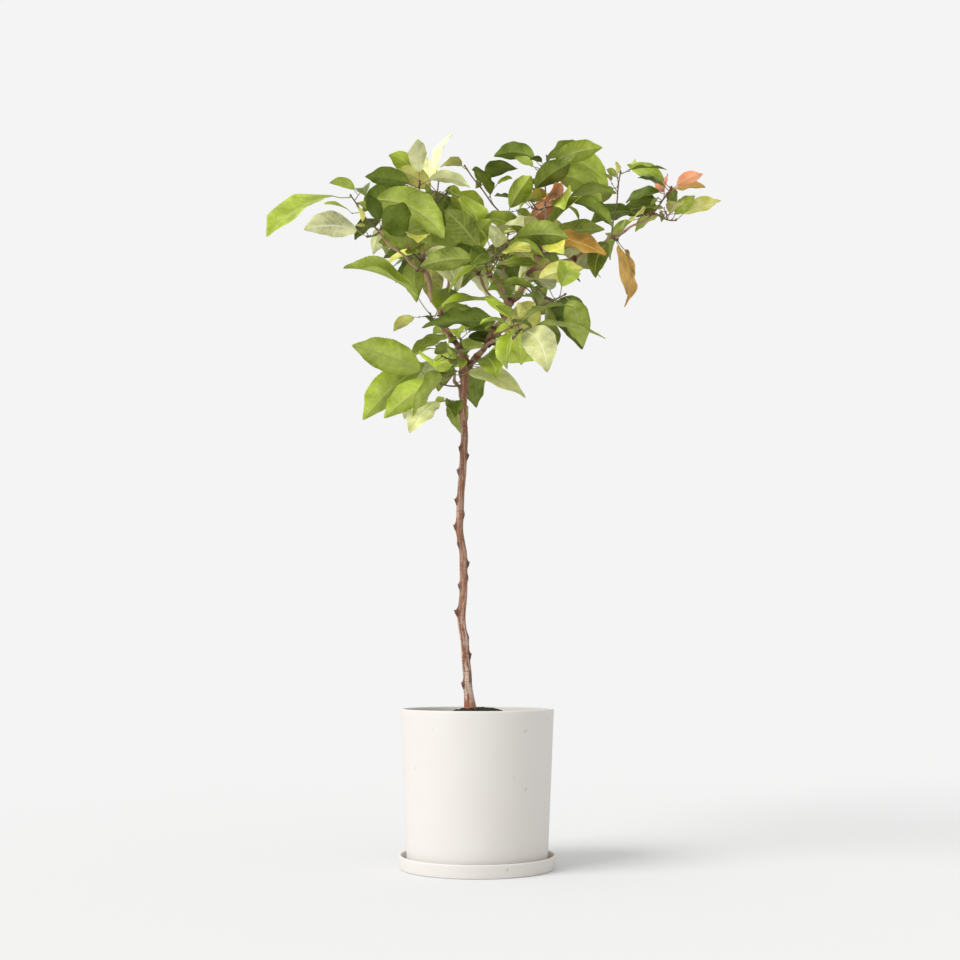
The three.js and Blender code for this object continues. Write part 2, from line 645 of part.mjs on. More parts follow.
// The limbs in the order that they spring from each other, the trunk first
function growLimbs() {
  const foot = new THREE.Vector3(TRUNK_SWAY[0], 0, SOIL_CROWN + SEAT);
  const length = TRUNK_TOP - foot.z;
  const trunk = stick(foot, new THREE.Vector3(0, 0, length), new THREE.Vector3(), [1, 1], 0, 1);
  const limbs = { trunk: { ...trunk, sway: TRUNK_SWAY, sides: TRUNK_SIDES, step: TRUNK_STEP } };
  Object.entries(LIMBS).forEach(([name, row], i) => {
    const start = pointOn(limbs[row.on], row.at);
    const line = stick(start, vector(row.reach), vector(row.bow), row.radii, LIMB_WOBBLE, i + 1);
    limbs[name] = { ...line, sides: LIMB_SIDES, step: LIMB_STEP, parent: limbs[row.on] };
  });
  return limbs;
}

const tree = new THREE.Group();
tree.name = "potted_sweet_cherry_tree";
tree.add(meshOf("saucer", saucerSolid(), STONEWARE));
tree.add(meshOf("pot", potSolid(), STONEWARE));
tree.add(meshOf("soil", soilSolid(), SOIL));

const crown = new Crown();
const limbs = growLimbs();
for (const [name, limb] of Object.entries(limbs)) {
  plantLimb(crown, name, limb);
  const body = limb.parent ? limbSolid(limb).subtract(limbSolid(limb.parent, SEAT)) : limbSolid(limb);
  tree.add(meshOf(name, whole(body), BARK));
}
const masses = Object.entries(MASSES)
  .map(([name, mass], i) => growShoots(crown, limbs, name, mass, i + 1));
for (const grown of masses) {
  const { name } = growLeaves(crown, grown);
  const young = YOUNG.includes(name) ? YOUNG_LEAF : LEAF;
  const finish = RUSSET.includes(name) ? RUSSET_LEAF : young;
  tree.add(meshOf(`${name}_leaves`, massSolid(grown, limbs), finish));
}

export default tree;
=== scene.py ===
import math

import bpy
import numpy as np
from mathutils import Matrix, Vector, noise


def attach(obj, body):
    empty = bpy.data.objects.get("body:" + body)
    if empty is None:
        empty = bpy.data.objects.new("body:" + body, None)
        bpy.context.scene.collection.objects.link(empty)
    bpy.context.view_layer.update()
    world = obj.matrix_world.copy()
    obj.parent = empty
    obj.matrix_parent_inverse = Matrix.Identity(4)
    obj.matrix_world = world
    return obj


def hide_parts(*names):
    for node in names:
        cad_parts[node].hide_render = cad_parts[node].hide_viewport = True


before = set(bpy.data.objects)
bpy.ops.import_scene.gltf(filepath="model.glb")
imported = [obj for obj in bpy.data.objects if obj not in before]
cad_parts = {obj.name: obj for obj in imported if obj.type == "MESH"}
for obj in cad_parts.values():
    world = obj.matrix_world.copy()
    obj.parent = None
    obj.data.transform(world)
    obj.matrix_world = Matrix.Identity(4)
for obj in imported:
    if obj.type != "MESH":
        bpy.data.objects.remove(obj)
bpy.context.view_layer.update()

# Saucer: a low dish of off-white stoneware, thrown on a wheel, dipped in a matt glaze and fired.
# It stands flat on the floor and its wall rises round the foot of the pot. Here and in what
# follows all sizes are millimetres, which new_mesh turns to the metres of the frame.
MM = 0.001
SAUCER_RADIUS = 125.5
SAUCER_FOOT_RADIUS = 123
SAUCER_HEIGHT = 21
SAUCER_WALL = 4.2
SAUCER_FLOOR = 5
ROUND_SIDES = 144
THROWN_STEP = 8
THROWN_UNEVEN = 0.16
GLAZE = "#d3d1cd"
GLAZE_WARM = "#d0cac3"
GLAZE_SPECK = "#a09388"
GLAZE_CLOUD = 70
SPECK_SPACING = 28
SPECK_RADIUS = 1.9
SPECK_SHARE = 0.6
GRIT = 0.9


def linear(code):
    """A colour written as sRGB hex, in the linear values that the shaders take."""
    parts = [int(code[i:i + 2], 16) / 255 for i in (1, 3, 5)]
    return (*[p / 12.92 if p <= 0.04045 else ((p + 0.055) / 1.055) ** 2.4 for p in parts], 1)


def add_node(tree, kind, inputs=None, **settings):
    """A node with its settings. Each input is a value, a hex colour, the socket that feeds it or
    the node whose first socket in use feeds it. A colour Mix takes its share at 0 and its colours
    at 6 and 7; a Map Range takes a value at 0, from the range 1 to 2 into the range 3 to 4."""
    node = tree.nodes.new(kind)
    for key, value in settings.items():
        setattr(node, key, value)
    for key, value in (inputs or {}).items():
        if isinstance(value, bpy.types.Node):
            value = next(socket for socket in value.outputs if socket.enabled)
        if isinstance(value, bpy.types.NodeSocket):
            tree.links.new(value, node.inputs[key])
        elif isinstance(value, str) and value.startswith("#"):
            node.inputs[key].default_value = linear(value)
        else:
            node.inputs[key].default_value = value
    return node


def new_object(name, data):
    """An object of the scene, at the origin."""
    thing = bpy.data.objects.new(name, data)
    bpy.context.collection.objects.link(thing)
    return thing


def new_mesh(name, points, edges, faces):
    """A mesh in metres, from points in millimetres."""
    mesh = bpy.data.meshes.new(name)
    mesh.from_pydata((np.asarray(points, float) * MM).tolist(), edges, faces)
    return mesh


def add_marks(mesh, marks):
    """Attributes of a mesh: a number or a vector for each of its points."""
    for mark, values in marks.items():
        values = np.asarray(values, dtype=np.float32)
        kind, key = ("FLOAT", "value") if values.ndim == 1 else ("FLOAT_VECTOR", "vector")
        mesh.attributes.new(mark, kind, "POINT").data.foreach_set(key, values.ravel())


def skin_faces(rings, sides, start=0):
    """The faces of a closed skin: a pole, rings of points one after the other, and a pole."""
    r, s = np.meshgrid(np.arange(rings - 1), np.arange(sides), indexing="ij")
    a = start + 1 + r * sides + s
    b = start + 1 + r * sides + (s + 1) % sides
    quads = np.stack([a, b, b + sides, a + sides], -1).reshape(-1, 4)
    s = np.arange(sides)
    on = (s + 1) % sides
    last = start + 1 + (rings - 1) * sides
    foot = np.stack([0 * s + start, start + 1 + on, start + 1 + s], -1)
    tip = np.stack([0 * s + last + sides, last + s, last + on], -1)
    return quads.tolist() + foot.tolist() + tip.tolist()


def mesh_piece(name, points, faces, skins, face_skins=None, uv=None, marks=None, crease=50):
    """A smooth-shaded mesh object, with its skins, its UV map and its marks."""
    mesh = new_mesh(name, points, [], faces)
    for skin in skins:
        mesh.materials.append(skin)
    if face_skins is not None:
        mesh.polygons.foreach_set("material_index", np.asarray(face_skins, dtype=np.int32))
    if uv is not None:
        corners = np.empty(len(mesh.loops), dtype=np.int32)
        mesh.loops.foreach_get("vertex_index", corners)
        layer = mesh.uv_layers.new(name="blade")
        layer.data.foreach_set("uv", np.asarray(uv, dtype=np.float32)[corners].ravel())
    add_marks(mesh, marks or {})
    mesh.shade_smooth()
    mesh.set_sharp_from_angle(angle=math.radians(crease))
    return new_object(name, mesh)


def soft_outline(corners, step):
    """The outline of a turned piece: corners of (radius, height, rounding), long runs divided."""
    spots = [np.array(c[:2], float) for c in corners]
    line = [spots[0]]
    for i in range(1, len(corners) - 1):
        back, ahead = spots[i - 1] - spots[i], spots[i + 1] - spots[i]
        a = spots[i] + back / np.linalg.norm(back) * corners[i][2]
        b = spots[i] + ahead / np.linalg.norm(ahead) * corners[i][2]
        for u in np.linspace(0, 1, 5):
            line.append((1 - u) ** 2 * a + 2 * u * (1 - u) * spots[i] + u * u * b)
    line.append(spots[-1])
    full = [line[0]]
    for start, end in zip(line, line[1:]):
        pieces = max(1, math.ceil(np.linalg.norm(end - start) / step))
        full += [start + (end - start) * k / pieces for k in range(1, pieces + 1)]
    return np.array(full)


def turned_piece(name, corners, skin, step=THROWN_STEP, uneven=THROWN_UNEVEN, relief=None):
    """A round piece turned about the upright axis, a little uneven as thrown work is."""
    line = soft_outline(corners, step)
    angle = np.arange(ROUND_SIDES) * 2 * math.pi / ROUND_SIDES
    points = [(0, 0, line[0][1])]
    for radius, height in line[1:-1]:
        for a in angle:
            x, y = math.cos(a), math.sin(a)
            sway = uneven * noise.noise(Vector((1.7 * x, 1.7 * y, 0.03 * height)))
            spot = ((radius + sway) * x, (radius + sway) * y, height)
            points.append(relief(*spot) if relief else spot)
    points.append((0, 0, line[-1][1]))
    return mesh_piece(name, points, skin_faces(len(line) - 2, ROUND_SIDES), [skin])


def start_skin(name):
    """A new material, with the tree that its nodes go into."""
    skin = bpy.data.materials.new(name)
    skin.use_nodes = True
    return skin, skin.node_tree


def finish_skin(skin, colour, bump, finish):
    """Gives a material's shader its colour and relief, and its own sockets what is even all over."""
    tree = skin.node_tree
    body = tree.nodes["Principled BSDF"]
    tree.links.new(colour.outputs[2], body.inputs["Base Color"])
    tree.links.new(bump.outputs["Normal"], body.inputs["Normal"])
    for socket, value in finish.items():
        body.inputs[socket].default_value = value
    return skin


def stoneware(name):
    """Matt glazed stoneware: a soft even white, warm clouds in it, rare iron specks, a fine grit.
    The grit, a third of a millimetre in life, is drawn as coarse as it needs to show."""
    skin, tree = start_skin(name)
    where = add_node(tree, "ShaderNodeTexCoord").outputs["Object"]
    clouds = add_node(tree, "ShaderNodeTexNoise", {
        "Vector": where, "Scale": 1 / (GLAZE_CLOUD * MM), "Detail": 3, "Roughness": 0.5})
    warmth = add_node(tree, "ShaderNodeMix", {0: clouds, 6: GLAZE, 7: GLAZE_WARM}, data_type="RGBA")
    cells = add_node(tree, "ShaderNodeTexVoronoi", {"Vector": where, "Scale": 1 / (SPECK_SPACING * MM)})
    spread = SPECK_RADIUS / SPECK_SPACING
    dots = add_node(tree, "ShaderNodeMapRange", {
        0: cells, 1: 0.5 * spread, 2: 1.8 * spread, 3: 0.42, 4: 0.0})
    chance = add_node(tree, "ShaderNodeSeparateColor", {0: cells.outputs["Color"]})
    some = add_node(tree, "ShaderNodeMath", {0: chance, 1: 1 - SPECK_SHARE}, operation="GREATER_THAN")
    specks = add_node(tree, "ShaderNodeMath", {0: dots, 1: some}, operation="MULTIPLY")
    colour = add_node(tree, "ShaderNodeMix", {0: specks, 6: warmth, 7: GLAZE_SPECK}, data_type="RGBA")
    grit = add_node(tree, "ShaderNodeTexNoise", {
        "Vector": where, "Scale": 1 / (GRIT * MM), "Detail": 4, "Roughness": 0.6})
    dents = add_node(tree, "ShaderNodeMath", {0: grit, 1: specks}, operation="SUBTRACT")
    bump = add_node(tree, "ShaderNodeBump", {"Strength": 0.35, "Distance": 0.12 * MM, "Height": dents})
    return finish_skin(skin, colour, bump, {"Roughness": 0.62, "IOR": 1.5})


saucer_glaze = stoneware("matt_glazed_stoneware_saucer")
saucer = turned_piece("saucer_dish", [
    (0, 0, 0), (SAUCER_FOOT_RADIUS, 0, 1.4), (SAUCER_RADIUS, SAUCER_HEIGHT, 1.8),
    (SAUCER_RADIUS - SAUCER_WALL, SAUCER_HEIGHT, 1.8),
    (SAUCER_FOOT_RADIUS - SAUCER_WALL, SAUCER_FLOOR, 2.5), (0, SAUCER_FLOOR, 0),
], saucer_glaze)
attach(saucer, "root")
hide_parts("saucer")

# Pot: a plain, slightly tapered bucket of the same stoneware with a thin rounded rim.
# It stands loose on the saucer's floor, 0.3 mm clear of it as its solid is.
SEAT = 0.3
POT_RIM_RADIUS = 123.8
POT_FOOT_RADIUS = 112
POT_TOP = 250
POT_WALL = 5
POT_FLOOR = 7
POT_ROUND = 2.2
POT_FOOT = SAUCER_FLOOR + SEAT


def pot_inside(height):
    """The radius of the pot's inner wall at a height."""
    share = (height - POT_FOOT) / (POT_TOP - POT_FOOT)
    return POT_FOOT_RADIUS + (POT_RIM_RADIUS - POT_FOOT_RADIUS) * share - POT_WALL


pot_glaze = stoneware("matt_glazed_stoneware_pot")
pot = turned_piece("pot_body", [
    (0, POT_FOOT, 0), (POT_FOOT_RADIUS, POT_FOOT, 1.6 * POT_ROUND),
    (POT_RIM_RADIUS, POT_TOP, POT_ROUND), (pot_inside(POT_TOP), POT_TOP, POT_ROUND),
    (pot_inside(POT_FOOT + POT_FLOOR), POT_FOOT + POT_FLOOR, 3), (0, POT_FOOT + POT_FLOOR, 0),
], pot_glaze)
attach(pot, "root")
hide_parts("pot")

# Soil: dark moist potting mix that fills the pot to 13 mm under its rim, drawn up in a loose heap
# round the trunk, a little above the firm mound of its solid. Its top is a lumpy skin with loose
# crumbs lying on it.
SOIL_EDGE = 237
SOIL_CROWN = 246
MOUND_TOP_RADIUS = 26
MOUND_FOOT_RADIUS = 58
SOIL_STEP = 3
HEAP_RISE = 4.5
LUMP_SIZE = 11
SMALL_LUMP_SIZE = 4
LUMP_HEIGHT = 1.5
LUMP_FADE = 10
CRUMBS_EACH_SQUARE_CM = 7
CRUMB_RADII = (0.7, 2.3)
CRUMB_CLEAR = 4
PEAT_DARK = "#17170f"
PEAT_BROWN = "#3a3122"
PEAT_PATCH = 6


def soil_relief(x, y, z):
    """Lumps on the open top, none at the wall or below."""
    radius = math.hypot(x, y)
    if z < SOIL_EDGE - 1:
        return x, y, z
    fade = min(1, max(0, (pot_inside(SOIL_EDGE) - radius) / LUMP_FADE))
    lump = noise.noise(Vector((x / LUMP_SIZE, y / LUMP_SIZE, 3)))
    lump += 0.5 * noise.noise(Vector((x / SMALL_LUMP_SIZE, y / SMALL_LUMP_SIZE, 9)))
    return x, y, z + LUMP_HEIGHT * fade * lump


def potting_soil():
    """Peat and bark crumbs: near black where moist, brown where dry, quite without a shine."""
    skin, tree = start_skin("moist_potting_soil")
    where = add_node(tree, "ShaderNodeTexCoord").outputs["Object"]
    patches = add_node(tree, "ShaderNodeTexNoise", {
        "Vector": where, "Scale": 1 / (PEAT_PATCH * MM), "Detail": 5, "Roughness": 0.7})
    sharp = add_node(tree, "ShaderNodeMapRange", {0: patches, 1: 0.4, 2: 0.72})
    colour = add_node(tree, "ShaderNodeMix", {0: sharp, 6: PEAT_DARK, 7: PEAT_BROWN}, data_type="RGBA")
    bump = add_node(tree, "ShaderNodeBump", {"Strength": 0.8, "Distance": 0.8 * MM, "Height": patches})
    return finish_skin(skin, colour, bump, {"Roughness": 0.95})


def grown_piece(name, mesh, tree, values):
    """What a geometry tree makes of a mesh, as a plain mesh object."""
    carrier = new_object(name + "_carrier", mesh)
    modifier = carrier.modifiers.new(name, "NODES")
    modifier.node_group = tree
    for socket in tree.interface.items_tree:
        if socket.in_out == "INPUT" and socket.name in values:
            modifier[socket.identifier] = values[socket.name]
    evaluated = carrier.evaluated_get(bpy.context.evaluated_depsgraph_get())
    piece = new_object(name, bpy.data.meshes.new_from_object(evaluated))
    carrier.modifiers.clear()
    bpy.data.objects.remove(carrier)
    return piece


def named_tree(name, inputs):
    """An empty geometry tree with its named inputs; returns it with its two end nodes."""
    tree = bpy.data.node_groups.new(name, "GeometryNodeTree")
    tree.interface.new_socket(name="Geometry", in_out="INPUT", socket_type="NodeSocketGeometry")
    for label, kind in inputs.items():
        tree.interface.new_socket(name=label, in_out="INPUT", socket_type=kind)
    tree.interface.new_socket(name="Geometry", in_out="OUTPUT", socket_type="NodeSocketGeometry")
    return tree, add_node(tree, "NodeGroupInput"), add_node(tree, "NodeGroupOutput")


def finish_tree(tree, given, made, form):
    """Ends a geometry tree: its instances become real and take the skin given to it."""
    real = add_node(tree, "GeometryNodeRealizeInstances", {0: form})
    skinned = add_node(tree, "GeometryNodeSetMaterial", {
        "Geometry": real, "Material": given.outputs["Skin"]})
    tree.links.new(skinned.outputs[0], made.inputs[0])
    return tree


def crumb_tree():
    """Crumbs strewn at random over the level parts of a surface, each turned its own way."""
    tree, given, made = named_tree("strewn_crumbs", {
        "Each square metre": "NodeSocketFloat", "Least radius": "NodeSocketFloat",
        "Greatest radius": "NodeSocketFloat", "Reach": "NodeSocketFloat",
        "Seed": "NodeSocketInt", "Skin": "NodeSocketMaterial"})
    normal = add_node(tree, "GeometryNodeInputNormal")
    upward = add_node(tree, "ShaderNodeSeparateXYZ", {0: normal})
    level = add_node(tree, "ShaderNodeMath", {0: upward.outputs["Z"], 1: 0.6}, operation="GREATER_THAN")
    place = add_node(tree, "GeometryNodeInputPosition")
    flat = add_node(tree, "ShaderNodeVectorMath", {0: place, 1: (1, 1, 0)}, operation="MULTIPLY")
    away = add_node(tree, "ShaderNodeVectorMath", {0: flat}, operation="LENGTH")
    inside = add_node(tree, "ShaderNodeMath", {0: away, 1: given.outputs["Reach"]}, operation="LESS_THAN")
    open_top = add_node(tree, "ShaderNodeMath", {0: level, 1: inside}, operation="MULTIPLY")
    spots = add_node(tree, "GeometryNodeDistributePointsOnFaces", {
        "Mesh": given.outputs["Geometry"], "Selection": open_top,
        "Density": given.outputs["Each square metre"], "Seed": given.outputs["Seed"]})
    crumb = add_node(tree, "GeometryNodeMeshIcoSphere", {"Radius": 1.0, "Subdivisions": 1})
    size = add_node(tree, "FunctionNodeRandomValue", {
        "Min": given.outputs["Least radius"], "Max": given.outputs["Greatest radius"],
        "Seed": 4}, data_type="FLOAT")
    stretch = add_node(tree, "FunctionNodeRandomValue", {
        0: (0.6, 0.6, 0.45), 1: (1.3, 1.3, 0.9), "Seed": 5}, data_type="FLOAT_VECTOR")
    scale = add_node(tree, "ShaderNodeVectorMath", {0: stretch, "Scale": size}, operation="SCALE")
    turn = add_node(tree, "FunctionNodeRandomValue", {
        0: (0, 0, 0), 1: (3.1, 3.1, 6.2), "Seed": 6}, data_type="FLOAT_VECTOR")
    turning = add_node(tree, "FunctionNodeEulerToRotation", {0: turn})
    laid = add_node(tree, "GeometryNodeInstanceOnPoints", {
        "Points": spots, "Instance": crumb, "Rotation": turning, "Scale": scale})
    return finish_tree(tree, given, made, laid)


soil_skin = potting_soil()
soil_floor = POT_FOOT + POT_FLOOR + SEAT
soil = turned_piece("soil_top", [
    (0, soil_floor, 0), (pot_inside(soil_floor) - SEAT, soil_floor, 1),
    (pot_inside(SOIL_EDGE) - SEAT, SOIL_EDGE, 0.5), (MOUND_FOOT_RADIUS, SOIL_EDGE + 1, 12),
    (MOUND_TOP_RADIUS, SOIL_CROWN + HEAP_RISE, 12), (0, SOIL_CROWN + HEAP_RISE, 0),
], soil_skin, SOIL_STEP, 0, soil_relief)
crumbs = grown_piece("soil_crumbs", soil.data, crumb_tree(), {
    "Each square metre": CRUMBS_EACH_SQUARE_CM * 1e4, "Least radius": CRUMB_RADII[0] * MM,
    "Greatest radius": CRUMB_RADII[1] * MM, "Seed": 12, "Skin": soil_skin,
    "Reach": (pot_inside(SOIL_EDGE) - CRUMB_CLEAR) * MM})
for piece in (soil, crumbs):
    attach(piece, "root")
    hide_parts("soil")

# Trunk: a slim young stem of living wood, swaying a little, with a flare at its foot, knots where
# buds and shoots were taken off, and a level cut above the fork. Its bark is smooth and brown,
# weathered to grey cream towards its foot, with small cross-wise lenticels.
TRUNK_TOP = 842
TRUNK_SWAY = (-11.5, -16, -20, -26, -22.5, -23, -29.5, -27.5, -24, -21.5, -24, -21.5, -25.5)
TRUNK_DEPTH = 3
TRUNK_RADIUS_LOW = 6.9
TRUNK_RADIUS_MIDDLE = 5.7
TRUNK_RADIUS_FORK = 7.8
TRUNK_FLARE = 4
TRUNK_FLARE_HEIGHT = 16
FORK_SWELL = (0.82, 0.18)
KNOT_HEIGHT = 6
# Each knot: its height, the way it faces in degrees, and how far it stands out.
KNOTS = (
    (288, 180, 2.6), (335, 0, 2.8), (365, 10, 1.8), (405, 180, 4.6), (448, 175, 2.6),
    (461, 5, 1.6), (484, 0, 3.2), (516, 200, 1.6), (545, 180, 3.4), (565, 0, 2.0),
    (588, 180, 3.6), (637, 175, 3.4), (662, 0, 3.0), (675, 185, 2.6), (739, 180, 4.4),
    (768, 20, 2.4), (800, 200, 2.6), (820, 0, 4.2),
)
TRUNK_SIDES = 40
TRUNK_RING = 1.3
TRUNK_SINK = 2
TRUNK_PATTERN_RADIUS = 8
# The cut at its top: the flat's share of the radius, and how high its edge and middle stand.
CUT_FLAT = 0.86
CUT_RISES = (0.7, 0.8)
BARK_SHARE = 1.05
FACET_SHARE = 0.97
# Sizes across, across and along a limb: the bark's long folds and its short wrinkles in relief,
# and further down its pale streaks, its dark bands and the cells that hold its lenticels.
FOLD_SIZE = (4, 4, 26)
WRINKLE_SIZE = (9, 9, 2.1)
LENTICELS = 260
LENTICEL_RISE = 0.28
LENTICEL_HALF_HEIGHT = 0.7
LENTICEL_HALF_ANGLES = (14, 22)
LENTICEL_WINDOW = 1.6
KNOT_ROUGH = 0.35
BARK_TAN = "#835840"
BARK_PALE = "#c6b1a2"
BARK_DUSK = "#6c4836"
BARK_SPUR = "#523124"
BARK_DAMP = "#965a3e"
DAMP_REACH = (254, 274)
PALE_FOOT = (290, 430)
STREAK_SIZE = (5, 5, 34)
BAND_SIZE = (16, 16, 1.6)
DASH_SIZE = (9, 9, 3.2)
LIMB_KINK_LENGTH = 62
NODE_SWELL = 0.14
NODE_SPACING = 36
UP = np.array([0.0, 0.0, 1.0])
BACK = np.array([0.0, 1.0, 0.0])


def dice(seed):
    """Seeded numbers from 0 to 1, the same row for the same seed."""
    whole = 0xFFFFFFFF
    state = (seed * 2654435761) & whole

    def roll():
        nonlocal state
        state = (state + 0x6D2B79F5) & whole
        t = ((state ^ (state >> 15)) * (1 | state)) & whole
        t = ((t + ((t ^ (t >> 7)) * (61 | t) & whole)) & whole) ^ t
        return (t ^ (t >> 14)) / 4294967296

    return roll


def smooth(value):
    """A soft step from 0 to 1."""
    value = min(1.0, max(0.0, value))
    return value * value * (3 - 2 * value)


def unit(vector):
    return vector / math.sqrt(vector @ vector)


class Stick:
    """The centre line that the trunk, a limb, a stem or a twig grows along."""

    def __init__(self, foot, reach, bow=(0, 0, 0), radii=(1, 1), wobble=0, seed=1, sway=None):
        self.foot = np.array(foot, float)
        self.reach = np.array(reach, float)
        self.bow = np.array(bow, float)
        self.radii, self.wobble, self.sway = radii, wobble, sway
        self.length = math.sqrt(self.reach @ self.reach)
        self.keel = UP if abs(self.reach[2]) < 0.8 * self.length else BACK
        self.side_a = unit(np.cross(self.reach, self.keel))
        self.side_b = unit(np.cross(self.reach, self.side_a))
        self.phase = 2 * math.pi * dice(seed)()
        self.kinks = self.length / LIMB_KINK_LENGTH

    def at(self, share):
        """The point at a share of the length."""
        if self.sway:
            last = len(self.sway) - 1
            along = min(1, max(0, share)) * last
            low = min(math.floor(along), last - 1)
            ease = smooth(along - low)
            x = self.sway[low] + (self.sway[low + 1] - self.sway[low]) * ease
            y = TRUNK_DEPTH * math.sin(5 * share)
            return np.array([x, y, self.foot[2] + share * self.length])
        swell = 4 * share * (1 - share)
        turn = 2 * math.pi * self.kinks * share + self.phase
        wobble = self.wobble * max(0, min(1, 2 * swell))
        return (self.foot + self.reach * share + self.bow * swell
                + self.side_a * wobble * math.sin(turn) + self.side_b * wobble * math.cos(turn))

    def axes(self, share):
        """Sideways, along and upwards at a share of the length."""
        if self.sway:
            return np.array([-1.0, 0, 0]), UP, BACK
        along = unit(self.at(share + 0.01) - self.at(share - 0.01))
        side = unit(np.cross(along, self.keel))
        return side, along, np.cross(side, along)

    def radius(self, share):
        """The radius of a limb, swollen at its even nodes."""
        nodes = max(1, math.floor(self.length / NODE_SPACING + 0.5))
        knob = 1 + NODE_SWELL * math.cos(2 * math.pi * nodes * share)
        return (self.radii[0] + (self.radii[1] - self.radii[0]) * share) * knob


def trunk_radius(share, x, y):
    """The trunk's radius towards (x, y), and how much of it is a knot."""
    height = share * (TRUNK_TOP - SOIL_CROWN)
    radius = TRUNK_RADIUS_LOW + (TRUNK_RADIUS_MIDDLE - TRUNK_RADIUS_LOW) * min(1, 2 * share)
    radius += TRUNK_FLARE * math.exp(-max(0, height) / TRUNK_FLARE_HEIGHT)
    radius += (TRUNK_RADIUS_FORK - TRUNK_RADIUS_MIDDLE) * smooth((share - FORK_SWELL[0]) / FORK_SWELL[1])
    knot = 0.0
    for level, heading, out in KNOTS:
        facing = x * math.cos(math.radians(heading)) + y * math.sin(math.radians(heading))
        near = (SOIL_CROWN + height - level) / KNOT_HEIGHT
        knot += out * math.exp(-near * near) * max(0, facing) ** 3
    return radius + knot, knot


def cherry_bark(name, tan, pale, dusk):
    """Smooth cherry bark: dull satin, finely banded cross-wise, rough and red-brown at knots,
    paler towards the trunk's foot, and stained by the damp just above the soil."""
    skin, tree = start_skin(name)
    wrap = add_node(tree, "ShaderNodeAttribute", attribute_name="wrap")
    streak_at = add_node(tree, "ShaderNodeVectorMath", {
        0: wrap.outputs["Vector"], 1: [1 / size for size in STREAK_SIZE]}, operation="MULTIPLY")
    streaks = add_node(tree, "ShaderNodeTexNoise", {
        "Vector": streak_at, "Scale": 1, "Detail": 5, "Roughness": 0.6})
    shares = add_node(tree, "ShaderNodeMapRange", {0: streaks, 1: 0.46, 2: 0.62})
    where = add_node(tree, "ShaderNodeTexCoord").outputs["Object"]
    height = add_node(tree, "ShaderNodeSeparateXYZ", {0: where})
    age = add_node(tree, "ShaderNodeMapRange", {
        0: height.outputs["Z"], 1: PALE_FOOT[0] * MM, 2: PALE_FOOT[1] * MM, 3: 3.0, 4: 0.5})
    pales = add_node(tree, "ShaderNodeMath", {0: shares, 1: age}, operation="MULTIPLY", use_clamp=True)
    weathered = add_node(tree, "ShaderNodeMix", {0: pales, 6: tan, 7: pale}, data_type="RGBA")
    band_at = add_node(tree, "ShaderNodeVectorMath", {
        0: wrap.outputs["Vector"], 1: [1 / size for size in BAND_SIZE]}, operation="MULTIPLY")
    bands = add_node(tree, "ShaderNodeTexNoise", {
        "Vector": band_at, "Scale": 1, "Detail": 3, "Roughness": 0.55})
    dark = add_node(tree, "ShaderNodeMapRange", {0: bands, 1: 0.5, 2: 0.75, 3: 0.0, 4: 0.7})
    banded = add_node(tree, "ShaderNodeMix", {0: dark, 6: weathered, 7: dusk}, data_type="RGBA")
    dash_at = add_node(tree, "ShaderNodeVectorMath", {
        0: wrap.outputs["Vector"], 1: [1 / size for size in DASH_SIZE]}, operation="MULTIPLY")
    dashes = add_node(tree, "ShaderNodeTexVoronoi", {"Vector": dash_at, "Scale": 1})
    lenticels = add_node(tree, "ShaderNodeMapRange", {0: dashes, 1: 0.12, 2: 0.2, 3: 0.6, 4: 0.0})
    dashed = add_node(tree, "ShaderNodeMix", {0: lenticels, 6: banded, 7: pale}, data_type="RGBA")
    damp = add_node(tree, "ShaderNodeMapRange", {
        0: height.outputs["Z"], 1: DAMP_REACH[0] * MM, 2: DAMP_REACH[1] * MM, 3: 0.75, 4: 0.0})
    stained = add_node(tree, "ShaderNodeMix", {0: damp, 6: dashed, 7: BARK_DAMP}, data_type="RGBA")
    spur = add_node(tree, "ShaderNodeAttribute", attribute_name="spur")
    spotted = add_node(tree, "ShaderNodeMath", {0: spur.outputs["Fac"], 1: 0.85}, operation="MULTIPLY")
    colour = add_node(tree, "ShaderNodeMix", {0: spotted, 6: stained, 7: BARK_SPUR}, data_type="RGBA")
    heights = add_node(tree, "ShaderNodeMath", {0: lenticels, 1: dark}, operation="SUBTRACT")
    bump = add_node(tree, "ShaderNodeBump", {"Strength": 0.5, "Distance": 0.3 * MM, "Height": heights})
    return finish_skin(skin, colour, bump, {"Roughness": 0.58, "Specular IOR Level": 0.2})


def bark_noise(x, y, along):
    """Fine ups and downs of bark: long shallow folds and short cross-wise wrinkles."""
    spot = (x, y, along)
    fold = noise.noise(Vector([v / size for v, size in zip(spot, FOLD_SIZE)]))
    wrinkle = noise.noise(Vector([v / size for v, size in zip(spot, WRINKLE_SIZE)]))
    return 0.3 * fold + 0.16 * wrinkle


class Bark:
    """The skins of limbs, gathered ring by ring for one mesh. A point's wrap is its place round and
    along its limb, which the bark's pattern follows, and its spur says how much of a knot it is."""

    def __init__(self, sides):
        self.sides = sides
        self.points, self.wrap, self.spur, self.faces = [], [], [], []

    def add(self, rings, foot, tip):
        """rings: one list of (point, wrap, spur) a ring, between the points foot and tip."""
        self.faces += skin_faces(len(rings), self.sides, len(self.points))
        self.keep(foot, *rings[0][0][1:])
        for ring in rings:
            for spot in ring:
                self.keep(*spot)
        self.keep(tip, rings[-1][0][1], 0.8)

    def keep(self, point, wrap, spur):
        self.points.append(point)
        self.wrap.append(wrap)
        self.spur.append(min(1, spur))

    def piece(self, name, skin):
        marks = {"wrap": self.wrap, "spur": self.spur}
        return mesh_piece(name, self.points, self.faces, [skin], marks=marks, crease=70)


